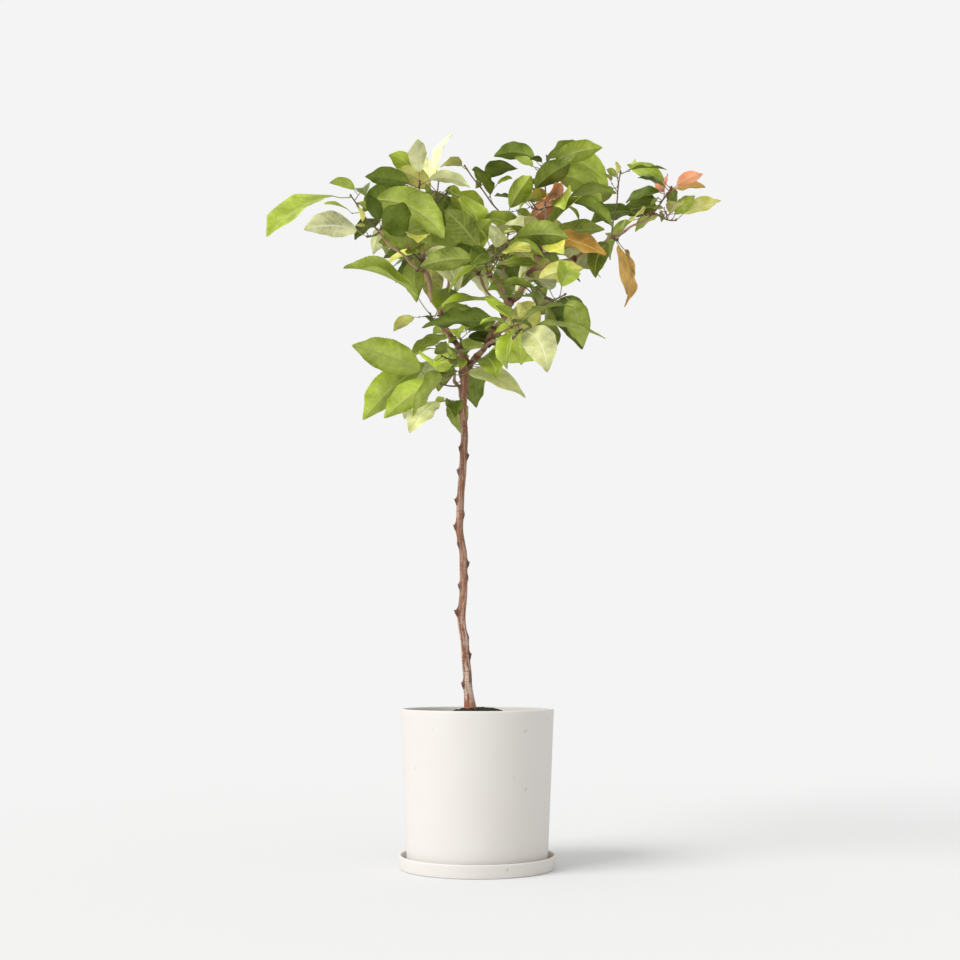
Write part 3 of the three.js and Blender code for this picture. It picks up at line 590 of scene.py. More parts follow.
trunk_foot = np.array([TRUNK_SWAY[0], 0, SOIL_CROWN + SEAT])
trunk_line = Stick(trunk_foot, (0, 0, TRUNK_TOP - trunk_foot[2]), sway=TRUNK_SWAY)
limbs = {"trunk": trunk_line}

# Each lenticel: its height, the way it faces in degrees, and how far it reaches to both sides.
lenticel_roll = dice(77)
lenticels = np.array([
    (trunk_foot[2] + trunk_line.length * lenticel_roll(), 360 * lenticel_roll(),
     LENTICEL_HALF_ANGLES[0] + LENTICEL_HALF_ANGLES[1] * lenticel_roll())
    for _ in range(LENTICELS)])


def trunk_ring(share):
    """One ring of the trunk: its radius, bark relief and raised lenticels all round."""
    middle = trunk_line.at(share)
    along = share * trunk_line.length
    height = trunk_foot[2] + along
    near = lenticels[abs(lenticels[:, 0] - height) < LENTICEL_WINDOW]
    ring = []
    for k in range(TRUNK_SIDES):
        angle = 2 * math.pi * k / TRUNK_SIDES
        x, y = math.cos(angle), math.sin(angle)
        radius, knot = trunk_radius(share, x, y)
        on_bark = (TRUNK_PATTERN_RADIUS * x, TRUNK_PATTERN_RADIUS * y, along)
        rise = bark_noise(*on_bark)
        for level, heading, half in near:
            apart = abs((math.degrees(angle) - heading + 180) % 360 - 180) / half
            above = (height - level) / LENTICEL_HALF_HEIGHT
            rise += LENTICEL_RISE * max(0, 1 - apart ** 4) * math.exp(-above ** 2)
        rough = knot * KNOT_ROUGH * noise.noise(Vector((3 * x, 3 * y, along / 2)))
        out = BARK_SHARE * radius + rise + rough
        ring.append((middle + out * np.array([x, y, 0]), on_bark, min(1, knot / 1.4)))
    return ring


trunk_rings = []
ring_count = math.ceil(trunk_line.length / TRUNK_RING)
for i in range(-1, ring_count + 1):
    trunk_rings.append(trunk_ring(i / ring_count if i >= 0 else -TRUNK_SINK / trunk_line.length))
cut = trunk_line.at(1)
rim = [(cut + (p - cut) * CUT_FLAT + UP * CUT_RISES[0], w, 0.75) for p, w, _ in trunk_rings[-1]]
trunk_bark = Bark(TRUNK_SIDES)
trunk_bark.add([*trunk_rings, rim], trunk_line.at(0) - UP * TRUNK_SINK, cut + UP * CUT_RISES[1])
trunk = trunk_bark.piece("trunk_bark", cherry_bark("tan_cherry_bark", BARK_TAN, BARK_PALE, BARK_DUSK))
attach(trunk, "root")
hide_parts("trunk")

# Boughs: two main boughs that part in a V just under the cut, and the side boughs off them.
# Each grows out of its parent with a swollen collar and thins towards its tip. Their bark is
# younger and paler than the trunk's, with wrinkled red-brown spurs where older leaves stood.
# Each limb: its parent, the share of the parent's length that it leaves at, its reach from foot
# to tip, how far its middle bows aside, and its radii at foot and tip.
LIMBS = {
    "left_bough": ("trunk", 0.985, (-67, -10, 162), (-9, 4, 0), (5.4, 4)),
    "right_bough": ("trunk", 0.93, (129, 10, 216), (6, 4, 0), (5.6, 3.8)),
    "left_leader": ("left_bough", 0.98, (18, 8, 98), (-3, 0, 0), (3.1, 2.2)),
    "far_left_bough": ("left_bough", 0.86, (-78, -24, 64), (-3, 0, -4), (2.6, 2)),
    "inner_bough": ("right_bough", 0.46, (-50, -44, 72), (-2, 0, 3), (2.7, 2)),
    "centre_bough": ("right_bough", 0.5, (-4, 26, 100), (-5, 3, 0), (2.8, 2.1)),
    "low_right_bough": ("right_bough", 0.3, (80, -58, 38), (4, 0, -6), (3.1, 2.2)),
    "right_leader": ("right_bough", 0.985, (8, -10, 76), (3, 0, 0), (3, 2.2)),
    "far_right_bough": ("right_bough", 0.84, (142, 24, 66), (4, 0, -8), (3.3, 2.6)),
    "far_right_tip": ("far_right_bough", 0.985, (77, 18, 50), (2, 0, -4), (2.5, 1.9)),
    "back_left_bough": ("left_bough", 0.34, (8, 142, 142), (-4, 14, -6), (3.6, 2.4)),
    "back_right_bough": ("right_bough", 0.56, (44, 158, 128), (6, 12, -8), (3.5, 2.4)),
    "back_low_bough": ("trunk", 0.86, (-26, 104, 92), (0, 8, -6), (3.6, 2.5)),
    "front_left_bough": ("left_bough", 0.2, (-18, -56, 4), (0, -2, 4), (3.2, 2.3)),
    "front_right_bough": ("right_bough", 0.2, (46, -104, -4), (2, -4, 8), (3.2, 2.3)),
    "front_bough": ("right_bough", 0.52, (-34, -136, 22), (0, -8, 10), (3.2, 2.3)),
}
LIMB_WOBBLE = 2.2
BOUGH_SIDES = 16
BOUGH_RING = 1.9
BOUGH_PATTERN_RADIUS = 5
COLLAR_SWELL = 0.3
COLLAR_LENGTH = 9
COLLAR_ON_TRUNK = 7
COLLAR_ON_BOUGH = 4
LUMP_SPACING = 3
WRINKLE_SPACING = 2.4
WRINKLE_RISE = 0.3
LUMP_RISE = 0.9
# Each spur: its limb, the share of the limb's length that it stands at, and half its length.
SPURS = (
    ("left_bough", 0.05, 9), ("left_bough", 0.14, 6), ("left_bough", 0.42, 4),
    ("left_bough", 0.97, 7), ("right_bough", 0.06, 9), ("right_bough", 0.13, 6),
    ("right_bough", 0.25, 8), ("right_bough", 0.36, 5), ("right_bough", 0.58, 5),
    ("right_bough", 0.74, 9), ("right_bough", 0.8, 7), ("right_bough", 0.97, 7),
    ("left_leader", 0.5, 3), ("right_leader", 0.55, 5), ("far_right_bough", 0.5, 4),
    ("far_right_tip", 0.93, 6), ("inner_bough", 0.9, 5), ("centre_bough", 0.9, 5),
    ("low_right_bough", 0.92, 5), ("back_left_bough", 0.9, 6), ("back_right_bough", 0.9, 6),
    ("back_low_bough", 0.9, 5), ("front_left_bough", 0.8, 4), ("front_right_bough", 0.9, 5),
    ("front_bough", 0.9, 5),
)
BOUGH_TAN = "#ab866a"
BOUGH_PALE = "#c0ac96"
BOUGH_DUSK = "#684a39"

for order, (name, (on, share, reach, bow, radii)) in enumerate(LIMBS.items()):
    limbs[name] = Stick(limbs[on].at(share), reach, bow, radii, LIMB_WOBBLE, order + 1)


def bough_ring(name, limb, share):
    """One ring of a bough, with its collar, its spurs' wrinkles and its bark relief."""
    side, along, up = limb.axes(share)
    middle = limb.at(share)
    length = share * limb.length
    place = COLLAR_ON_TRUNK if LIMBS[name][0] == "trunk" else COLLAR_ON_BOUGH
    collar = math.exp(-(((length - place) / COLLAR_LENGTH) ** 2))
    spur = 0.7 * collar
    for on, spot, half in SPURS:
        if on == name:
            spur = max(spur, math.exp(-((((share - spot) * limb.length) / half) ** 2)))
    ridge = math.cos(2 * math.pi * length / WRINKLE_SPACING)
    ring = []
    for k in range(BOUGH_SIDES):
        angle = 2 * math.pi * k / BOUGH_SIDES
        out = up * math.cos(angle) + side * math.sin(angle)
        x, y = BOUGH_PATTERN_RADIUS * math.cos(angle), BOUGH_PATTERN_RADIUS * math.sin(angle)
        radius = FACET_SHARE * limb.radius(share) * (1 + COLLAR_SWELL * collar)
        lumps = noise.noise(Vector((
            x / LUMP_SPACING + 7 * limb.phase, y / LUMP_SPACING, length / LUMP_SPACING)))
        radius += 0.6 * bark_noise(x + 9 * limb.phase, y, length) + spur * WRINKLE_RISE * ridge
        radius += LUMP_RISE * spur * lumps
        ring.append((middle + out * radius, (x + 9 * limb.phase, y, length), spur))
    return ring


bough_bark = Bark(BOUGH_SIDES)
for name in LIMBS:
    limb = limbs[name]
    steps = math.ceil(limb.length / BOUGH_RING)
    rings = [bough_ring(name, limb, i / steps) for i in range(steps + 1)]
    tip = limb.at(1 + 0.8 * limb.radii[1] / limb.length)
    bough_bark.add(rings, limb.at(0), tip)
boughs = bough_bark.piece(
    "bough_bark", cherry_bark("grey_tan_cherry_bark", BOUGH_TAN, BOUGH_PALE, BOUGH_DUSK))
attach(boughs, "root")
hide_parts(*LIMBS)

# Shoots: this year's growth. From the tip or the side of its bough each mass grows one stem,
# which may branch, by the seeded rule of the solids; finer twigs are then grown on, inside the
# same space, and each shoot ends in a bud. They are smooth, thin and olive brown.
# Each mass: its bough, the share of it that the stem leaves at, or None for its tip, the stem's
# reach, then twigs, leaves and longest blade, then the heading and climb in degrees that its
# leaves start from, its seed, and the tints that are dealt to its leaves in turn.
MASSES = {
    "far_left": ("far_left_bough", None, (-47, -10, 59), (0, 2, 144), (196, 2), 241,
        "mid mid"),
    "far_left_low": ("far_left_bough", None, (-18, -16, -14), (0, 2, 108), (184, 6), 342,
        "cream mid"),
    "top_left": ("left_leader", None, (8, 0, 45), (1, 7, 82), (60, 66), 15,
        "cream bright cream lime"),
    "upper_left": ("left_leader", None, (-40, -14, 24), (1, 8, 86), (160, 30), 59,
        "deep cream deep cream lime deep"),
    "middle_left": ("far_left_bough", None, (12, 8, 28), (0, 5, 76), (60, 10), 365,
        "sage deep mid sage deep"),
    "upper_inner": ("left_leader", None, (26, -30, 22), (1, 6, 106), (350, -20), 59,
        "mid deep bright deep mid ochre"),
    "left_whorl": ("left_bough", None, (-22, -30, 10), (1, 6, 114), (176, 0), 174,
        "deep lime mid mid sage"),
    "left_side": ("left_bough", None, (-8, -16, -24), (0, 2, 124), (180, 20), 287,
        "mid"),
    "left_back": ("left_bough", None, (12, 46, 18), (1, 7, 91), (60, 10), 374,
        "lime mid deep deep mid"),
    "inner": ("inner_bough", None, (-19, -21, 22), (1, 7, 94), (120, 10), 10,
        "mid deep sage lime"),
    "centre": ("centre_bough", None, (6, -6, 44), (1, 7, 80), (300, 10), 369,
        "deep deep ochre deep mid deep deep"),
    "centre_back": ("centre_bough", None, (-14, 42, 16), (1, 6, 86), (89, 7), 52,
        "deep mid mid sage deep"),
    "right_front": ("right_bough", None, (-4, -36, 16), (1, 8, 97), (0, 10), 92,
        "ochre mid lime mid sage lime mid"),
    "right_back": ("right_bough", None, (30, 44, 12), (1, 7, 79), (20, 0), 166,
        "sage mid sage deep mid mid lime"),
    "middle_twig": ("right_bough", None, (-128, 4, 151), (0, 4, 86), (152, 6), 102,
        "lime deep deep bright"),
    "right_top": ("right_leader", None, (4, 5, 93), (1, 6, 112), (0, 30), 68,
        "bright deep bright deep mid mid"),
    "right_side": ("right_leader", None, (32, -24, 4), (1, 7, 89), (320, 0), 241,
        "deep russet mid russet mid deep mid"),
    "right_rear": ("right_leader", None, (-20, 34, 11), (1, 6, 91), (109, 2), 362,
        "deep deep"),
    "far_right": ("far_right_tip", None, (30, -16, 40), (1, 8, 74), (170, 30), 34,
        "mid russet deep deep russet ochre deep deep"),
    "far_right_end": ("far_right_tip", None, (45, 39, -1), (1, 7, 74), (0, 10), 352,
        "lime deep bright mid lime"),
    "far_right_back": ("far_right_tip", None, (-15, 50, 13), (1, 6, 86), (90, 0), 201,
        "deep mid lime"),
    "far_right_twig": ("far_right_bough", None, (17, -8, 113), (0, 3, 67), (0, 0), 86,
        "deep mid"),
    "right_low": ("far_right_bough", None, (9, -25, -14), (0, 3, 103), (316, -40), 233,
        "ochre ochre mid"),
    "low_right": ("low_right_bough", None, (43, -10, 17), (1, 8, 140), (0, 0), 108,
        "mid lime bright mid sage mid deep deep"),
    "low_middle": ("low_right_bough", None, (-14, -6, 32), (1, 6, 82), (124, 11), 225,
        "lime mid"),
    "front_right": ("front_right_bough", None, (13, -32, 5), (1, 6, 121), (355, 5), 290,
        "mid deep sage bright mid mid"),
    "front_left": ("front_left_bough", None, (-13, -29, 12), (0, 3, 144), (181, 14), 175,
        "mid bright mid"),
    "low_left": ("trunk", 0.97, (-34, -22, 2), (0, 2, 144), (182, 0), 239,
        "bright sage"),
    "front_middle": ("front_bough", None, (-9, -27, 19), (1, 7, 89), (250, 10), 359,
        "mid lime mid sage mid deep mid"),
    "front_upper": ("front_bough", None, (25, -6, 50), (1, 6, 91), (43, 19), 130,
        "mid deep lime mid mid sage"),
    "lower_left": ("trunk", 0.9, (-50, -30, -2), (1, 6, 122), (205, 0), 146,
        "mid sage bright mid bright"),
    "lower_right": ("trunk", 0.95, (26, -18, 8), (0, 4, 117), (355, 0), 49,
        "mid bright sage"),
    "lowest": ("trunk", 0.845, (-26, -16, 4), (0, 5, 90), (210, -8), 51,
        "sage mid deep mid"),
    "lowest_back": ("trunk", 0.93, (13, 37, 22), (0, 5, 91), (70, 0), 51,
        "deep mid deep"),
    "fork": ("trunk", None, (-6, 12, 34), (1, 6, 78), (160, 10), 333,
        "deep bright mid deep mid"),
    "back_low": ("back_low_bough", None, (-4, 34, 20), (1, 7, 85), (90, 0), 141,
        "mid deep bright"),
    "back_left": ("back_left_bough", None, (-22, 34, 20), (2, 9, 95), (120, 0), 178,
        "deep sage bright deep lime"),
    "back_left_high": ("back_left_bough", None, (14, 6, 54), (1, 7, 89), (60, 20), 234,
        "mid lime deep"),
    "back_right": ("back_right_bough", None, (18, 38, 14), (2, 9, 95), (60, 0), 5,
        "mid deep sage deep lime"),
    "high_back": ("back_right_bough", None, (-8, 4, 56), (1, 7, 75), (100, 20), 124,
        "deep bright lime mid"),
}
YOUNG = ("far_left", "top_left", "fork", "front_left", "front_right")
RUSSET = ("centre", "right_side", "far_right")
STEM_RADII = (2, 1.3)
STEM_SAG = 0.06
TWIG_RADII = (1.5, 1.1)
TWIG_TURN = 100
TWIG_LENGTH = 0.55
TWIG_LEAST = 16
STALK_LENGTH = 0.24
STALK_LIFT = 12
BLADE_WIDTH = 0.47
BLADE_FOLD = 0.2
GOLDEN_TURN = 137.5
HEADING_SPREAD = 70
RISE_SPREAD = 56
ROLL_SPREAD = 130
LEAST_DROOP = 12
DROOP_SPREAD = 52
LENGTH_SPREAD = 0.34
LEAF_TRIES = 9
# Where leaves stand on their shoot: the first one's share of it, the step to the next, the least.
LEAF_PLACES = (0.97, 0.17, 0.3)
SAMPLE_STEP = 7
LEAF_CLEAR = 9
OWN_CLEAR = 6.5
LIMB_CLEAR = 4
ROOM = 1.5
CELL = 16
FINE_TRIES = 4
FINE_LENGTH = (13, 24)
FINE_RADII = (1.0, 0.6)
FINE_BLADE = 0.4
FINE_CLEAR = 4
CLEAR_STEP = 5
SHOOT_SLIM = 0.82
SHOOT_RING = 3.5
SHOOT_KNOB = 0.35
SHOOT_KNOB_REACH = 3
SHOOT_OLIVE = "#5f5a3d"
SHOOT_BROWN = "#6d4a37"


def cell_of(point):
    """The cell of space that holds a point."""
    return tuple(math.floor(v / CELL) for v in point)


class Crown:
    """What already grows, kept in cells of space so that near things are found quickly."""

    def __init__(self):
        self.cells = {}

    def add(self, owner, point, radius):
        spot = (owner, *map(float, point), radius)
        self.cells.setdefault(cell_of(point), []).append(spot)

    def touches(self, owner, point, own):
        """Whether a point of one owner comes too near to anything else."""
        i, j, k = cell_of(point)
        x, y, z = map(float, point)
        for a in (i - 1, i, i + 1):
            for b in (j - 1, j, j + 1):
                for c in (k - 1, k, k + 1):
                    for other, ox, oy, oz, radius in self.cells.get((a, b, c), ()):
                        clear = own if other == owner else LEAF_CLEAR
                        limit = radius + LIMB_CLEAR if radius else clear
                        if (x - ox) ** 2 + (y - oy) ** 2 + (z - oz) ** 2 < limit * limit:
                            return True
        return False


class Leaf:
    """One leaf by the rule: where its stalk starts, where its blade lies and how it bends."""

    def __init__(self, shoot, share, face, longest, index, roll):
        self.node = shoot.at(share)
        heading = math.radians(
            face[0] + GOLDEN_TURN * index + HEADING_SPREAD * (roll() - 0.5))
        self.ahead = np.array([math.cos(heading), math.sin(heading), 0.0])
        self.rise = face[1] + RISE_SPREAD * (roll() - 0.5)
        self.droop = LEAST_DROOP + DROOP_SPREAD * roll()
        self.roll = ROLL_SPREAD * (roll() - 0.5)
        self.length = longest * (1 - LENGTH_SPREAD * roll() if index else 1)
        stalk = math.radians(self.rise + STALK_LIFT)
        self.base = self.node + STALK_LENGTH * self.length * (
            self.ahead * math.cos(stalk) + UP * math.sin(stalk))
        self.width = BLADE_WIDTH * self.length
        self.small = False

    def spots(self, t, across, half, lift, twist=0.0, bend=0.0):
        """Points of the blade at shares t of its length; across and lift are in half widths."""
        start, droop = math.radians(self.rise), math.radians(self.droop)
        pitch = start - droop * t
        forward = self.length * (math.sin(start) - np.sin(pitch)) / droop
        climb = self.length * (np.cos(pitch) - math.cos(start)) / droop
        zero = np.zeros_like(t)
        along = np.stack([self.ahead[0] * np.cos(pitch), self.ahead[1] * np.cos(pitch),
                          np.sin(pitch)], -1)
        level = np.stack([self.ahead[1] + zero, -self.ahead[0] + zero, zero], -1)
        upright = np.cross(level, along)
        lean = np.radians(self.roll + twist * (t - 0.4))[..., None]
        side = level * np.cos(lean) + upright * np.sin(lean)
        up = np.cross(side, along)
        middle = self.base + self.ahead * forward[..., None] + UP * climb[..., None]
        middle = middle + level * (bend * np.sin(math.pi * t))[..., None]
        return middle + side * (across * half)[..., None] + up * (lift * half)[..., None], up

    def samples(self):
        """Points over the blade and its stalk, which stand for it in tests of clearance."""
        steps = math.ceil(self.length / SAMPLE_STEP)
        t, across = np.meshgrid(
            np.arange(1, steps + 1) / steps, [-1, -0.6, -0.2, 0.2, 0.6, 1], indexing="ij")
        half = 0.5 * self.width * blade_share(t)
        points = self.spots(t, across, half, abs(across) * BLADE_FOLD)[0].reshape(-1, 3)
        stalk = [self.node + (self.base - self.node) * share for share in (0.5, 1)]
        return [*points, *stalk]


def blade_share(t):
    """Half the width of a blade at a share of its length, as a share of its widest half."""
    return np.maximum(0, np.sin(math.pi * t ** 0.88)) ** 0.75


def heading_way(heading, climb):
    """A way of length 1, from its heading and its climb in degrees."""
    level = math.cos(math.radians(climb))
    turn = math.radians(heading)
    return np.array([math.cos(turn) * level, math.sin(turn) * level, math.sin(math.radians(climb))])


class Mass:
    """The shoots and leaves of one mass, grown in the space that is its own."""

    def __init__(self, crown, name, row, order):
        self.name = name
        on, at, reach, self.grow, self.face, self.seed, tints = row
        self.tints = tints.split()
        parent = limbs[on]
        self.foot = parent.at(1 - 1.5 / parent.length if at is None else at)
        length = math.sqrt(sum(v * v for v in reach))
        stem = Stick(self.foot, reach, (0, 0, -STEM_SAG * length), STEM_RADII, 0.8, order)
        self.shoots, self.fine, self.leaves = [stem], [], []
        self.space = stem.length + ROOM * self.grow[2]
        roll = dice(order)
        for i in range(self.grow[0]):
            turn = TWIG_TURN + GOLDEN_TURN * i + 60 * (roll() - 0.5)
            length = max(TWIG_LEAST, TWIG_LENGTH * stem.length * (0.7 + 0.6 * roll()))
            way = heading_way(self.face[0] + turn, 15 + 30 * roll())
            start = stem.at(0.45 + 0.35 * (i + 0.5) / self.grow[0])
            twig = Stick(start, way * length, radii=TWIG_RADII, seed=order)
            if not any(crown.touches(name, twig.at(t), 0) for t in (0.4, 0.7, 1)):
                self.shoots.append(twig)
        for shoot in self.shoots:
            steps = math.ceil(shoot.length / CLEAR_STEP)
            for i in range(1, steps + 1):
                crown.add(name, shoot.at(i / steps), STEM_RADII[0])

    def offer(self, crown, leaf, own):
        """Keeps a leaf where it has room inside the mass's space."""
        points = leaf.samples()
        reach = self.space ** 2
        if any((p - self.foot) @ (p - self.foot) >= reach for p in points):
            return False
        if any(crown.touches(self.name, p, own) for p in points):
            return False
        self.leaves.append(leaf)
        for point in points:
            crown.add(self.name, point, 0)
        return True

    def grow_leaves(self, crown):
        """The leaves of the solids, dealt to the shoots in turn from their tips."""
        roll = dice(self.seed)
        for i in range(self.grow[1]):
            shoot = self.shoots[i % len(self.shoots)]
            share = max(LEAF_PLACES[2], LEAF_PLACES[0] - LEAF_PLACES[1] * (i // len(self.shoots)))
            for attempt in range(LEAF_TRIES):
                leaf = Leaf(shoot, share, self.face, self.grow[2], i + 3 * attempt, roll)
                leaf.tint = self.tints[len(self.leaves) % len(self.tints)]
                if self.offer(crown, leaf, OWN_CLEAR):
                    break

    def grow_fine(self, crown):
        """Finer twigs with small young leaves, where the mass has room left for them."""
        roll = dice(self.seed + 5000)
        for shoot in list(self.shoots):
            for _ in range(FINE_TRIES):
                start = shoot.at(0.3 + 0.68 * roll())
                length = FINE_LENGTH[0] + (FINE_LENGTH[1] - FINE_LENGTH[0]) * roll()
                face = (360 * roll(), 50 * roll() - 5)
                twig = Stick(start, heading_way(*face) * length, radii=FINE_RADII)
                if any(crown.touches(self.name, twig.at(t), FINE_CLEAR) for t in (0.5, 0.75, 1)):
                    continue
                self.fine.append(twig)
                for index in range(2):
                    blade = FINE_BLADE * self.grow[2] * (0.7 + 0.5 * roll())
                    leaf = Leaf(twig, 1 - 0.3 * index, face, blade, 2 * index, roll)
                    tip_tint = "russet" if self.name in RUSSET else "deep"
                    leaf.tint = ("mid", "bright", "lime", tip_tint)[int(4 * roll() ** 3)]
                    leaf.small = True
                    self.offer(crown, leaf, FINE_CLEAR)
                crown.add(self.name, twig.at(0.7), 1)


crown = Crown()
for name, limb in limbs.items():
    steps = math.ceil(limb.length / CLEAR_STEP)
    for i in range(steps + 1):
        radius = TRUNK_RADIUS_FORK if limb.sway else limb.radius(i / steps)
        crown.add(name, limb.at(i / steps), radius)
masses = [Mass(crown, name, row, order + 1) for order, (name, row) in enumerate(MASSES.items())]
for mass in masses:
    mass.grow_leaves(crown)
for mass in masses:
    mass.grow_fine(crown)
mass_nodes = [mass.name + "_leaves" for mass in masses]


def swept_tree():
    """Round sticks swept along lines, as thick at each point as the line's thickness says."""
    tree, given, made = named_tree("round_sticks", {
        "Sides": "NodeSocketInt", "Skin": "NodeSocketMaterial"})
    line = add_node(tree, "GeometryNodeMeshToCurve", {0: given.outputs["Geometry"]})
    thick = add_node(tree, "GeometryNodeInputNamedAttribute", {"Name": "thick"}, data_type="FLOAT")
    round_form = add_node(tree, "GeometryNodeCurvePrimitiveCircle", {
        "Resolution": given.outputs["Sides"], "Radius": 1.0})
    swept = add_node(tree, "GeometryNodeCurveToMesh", {
        "Curve": line, "Profile Curve": round_form, "Scale": thick, "Fill Caps": True})
    eased = add_node(tree, "GeometryNodeSetShadeSmooth", {0: swept})
    return finish_tree(tree, given, made, eased)


round_sticks = swept_tree()


def stick_piece(name, lines, sides, skin):
    """Sticks along lines of (point, radius), in one mesh."""
    points = [point for line in lines for point, _ in line]
    edges, start = [], 0
    for line in lines:
        edges += [(start + i, start + i + 1) for i in range(len(line) - 1)]
        start += len(line)
    mesh = new_mesh(name + "_lines", points, edges, [])
    add_marks(mesh, {"thick": [radius * MM for line in lines for _, radius in line]})
    return grown_piece(name, mesh, round_sticks, {"Sides": sides, "Skin": skin})


def young_bark(name, first, second, grain, roughness):
    """Thin smooth bark of young wood: two near colours in short streaks, with a satin shine."""
    skin, tree = start_skin(name)
    where = add_node(tree, "ShaderNodeTexCoord").outputs["Object"]
    streaks = add_node(tree, "ShaderNodeTexNoise", {
        "Vector": where, "Scale": 1 / (grain * MM), "Detail": 3, "Roughness": 0.6})
    shares = add_node(tree, "ShaderNodeMapRange", {0: streaks, 1: 0.38, 2: 0.62})
    colour = add_node(tree, "ShaderNodeMix", {0: shares, 6: first, 7: second}, data_type="RGBA")
    bump = add_node(tree, "ShaderNodeBump", {"Strength": 0.4, "Distance": 0.15 * MM, "Height": streaks})
    return finish_skin(skin, colour, bump, {"Roughness": roughness})


def shoot_line(shoot, leaves):
    """A shoot's line: it thins to its tip and swells where a leaf stands."""
    steps = max(4, math.ceil(shoot.length / SHOOT_RING))
    line = []
    for i in range(steps + 1):
        share = i / steps
        radius = SHOOT_SLIM * (shoot.radii[0] + (shoot.radii[1] - shoot.radii[0]) * share)
        for leaf in leaves:
            apart = shoot.at(share) - leaf.node
            radius += SHOOT_KNOB * math.exp(-(apart @ apart) / SHOOT_KNOB_REACH ** 2)
        line.append((shoot.at(share), radius * (0.75 if i == steps else 1)))
    return line


shoot_lines = [shoot_line(shoot, mass.leaves) for mass in masses for shoot in mass.shoots]
shoot_lines += [shoot_line(twig, []) for mass in masses for twig in mass.fine]
shoots = stick_piece(
    "leafy_shoots", shoot_lines, 8, young_bark("young_shoot_bark", SHOOT_OLIVE, SHOOT_BROWN, 5, 0.5))
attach(shoots, "root")
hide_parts(*mass_nodes)

# Leaf stalks: one to a leaf, slim and sagging a little, green on most sprays and red on others.
# Each grows out of its shoot just under a bud and runs on into the leaf's midrib.
# Its radii are those at its foot, its middle and its blade.
STALK_RADII = (1.25, 0.7, 0.85)
STALK_SAG = 0.07
STALK_GREEN = ("#77843a", "#929247")
STALK_RED = ("#a4593f", "#b98d5c")
RED_STALKS = ("upper_left", "left_whorl", "right_side", "far_right", "far_right_end", "centre",
              "right_front", "middle_left", "high_back", "back_right")


def stalk_line(leaf):
    """A stalk sags a little between its shoot and the blade, and is thickest at its foot."""
    run = leaf.base - leaf.node
    start = math.radians(leaf.rise)
    onward = leaf.base + 0.03 * leaf.length * (leaf.ahead * math.cos(start) + UP * math.sin(start))
    slim = 0.75 if leaf.small else 1
    line = []
    for i in range(7):
        share = i / 6
        sag = STALK_SAG * math.sqrt(run @ run) * 4 * share * (1 - share)
        middle = STALK_RADII[1] + (STALK_RADII[0] - STALK_RADII[1]) * math.exp(-share * 7)
        radius = middle + (STALK_RADII[2] - STALK_RADII[1]) * share ** 3
        line.append((leaf.node + run * share - UP * sag, slim * radius))
    line.append((onward, slim * 0.45))
    return line


for name, colours, red in (
        ("green_stalks", STALK_GREEN, False), ("red_stalks", STALK_RED, True)):
    owners = [mass for mass in masses if (mass.name in RED_STALKS) == red]
    lines = [stalk_line(leaf) for mass in owners for leaf in mass.leaves]
    stalks = stick_piece(name, lines, 6, young_bark(name[:-1] + "_skin", *colours, 8, 0.42))
    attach(stalks, "root")
    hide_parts(*[mass.name + "_leaves" for mass in owners])

# Buds: pointed, scaly and dark red-brown. One sits in the angle of each leaf stalk, one ends each
# shoot, and they crowd on the spurs of the boughs and on the trunk's knots.
BUD_SIDES = 6
# Heights and radii of a bud as shares of its length, and the lengths of buds by where they sit.
BUD_OUTLINE = ((0.0, 0.3), (0.25, 0.42), (0.5, 0.38), (0.75, 0.22))
AXIL_BUD = 3.2
TIP_BUD = 4.4
SPUR_BUD = 5.5
SPUR_BUDS = 6
KNOT_BUD = 4.6
KNOT_WITH_BUD = 2.2
BUD_BROWN = "#54362a"
BUD_RED = "#744230"


def bud_form():
    """One bud, a unit long, standing on the origin."""
    points = [(0, 0, 0)]
    for height, radius in BUD_OUTLINE:
        for k in range(BUD_SIDES):
            angle = 2 * math.pi * k / BUD_SIDES
            points.append((radius * math.cos(angle), radius * math.sin(angle), height))
    points.append((0, 0, 1))
    faces = skin_faces(len(BUD_OUTLINE), BUD_SIDES)
    return mesh_piece("bud_form", np.array(points) / MM, faces, [], crease=80)


def bud_tree():
    """One form set on every point, aimed and sized by the point's own marks."""
    tree, given, made = named_tree("set_buds", {
        "Form": "NodeSocketObject", "Skin": "NodeSocketMaterial"})
    form = add_node(tree, "GeometryNodeObjectInfo", {"Object": given.outputs["Form"]})
    aim = add_node(tree, "GeometryNodeInputNamedAttribute", {"Name": "aim"}, data_type="FLOAT_VECTOR")
    size = add_node(tree, "GeometryNodeInputNamedAttribute", {"Name": "size"}, data_type="FLOAT")
    turn = add_node(tree, "FunctionNodeAlignRotationToVector", {"Vector": aim}, axis="Z")
    spots = add_node(tree, "GeometryNodeMeshToPoints", {0: given.outputs["Geometry"]})
    laid = add_node(tree, "GeometryNodeInstanceOnPoints", {
        "Points": spots, "Instance": form.outputs["Geometry"], "Rotation": turn, "Scale": size})
    return finish_tree(tree, given, made, laid)


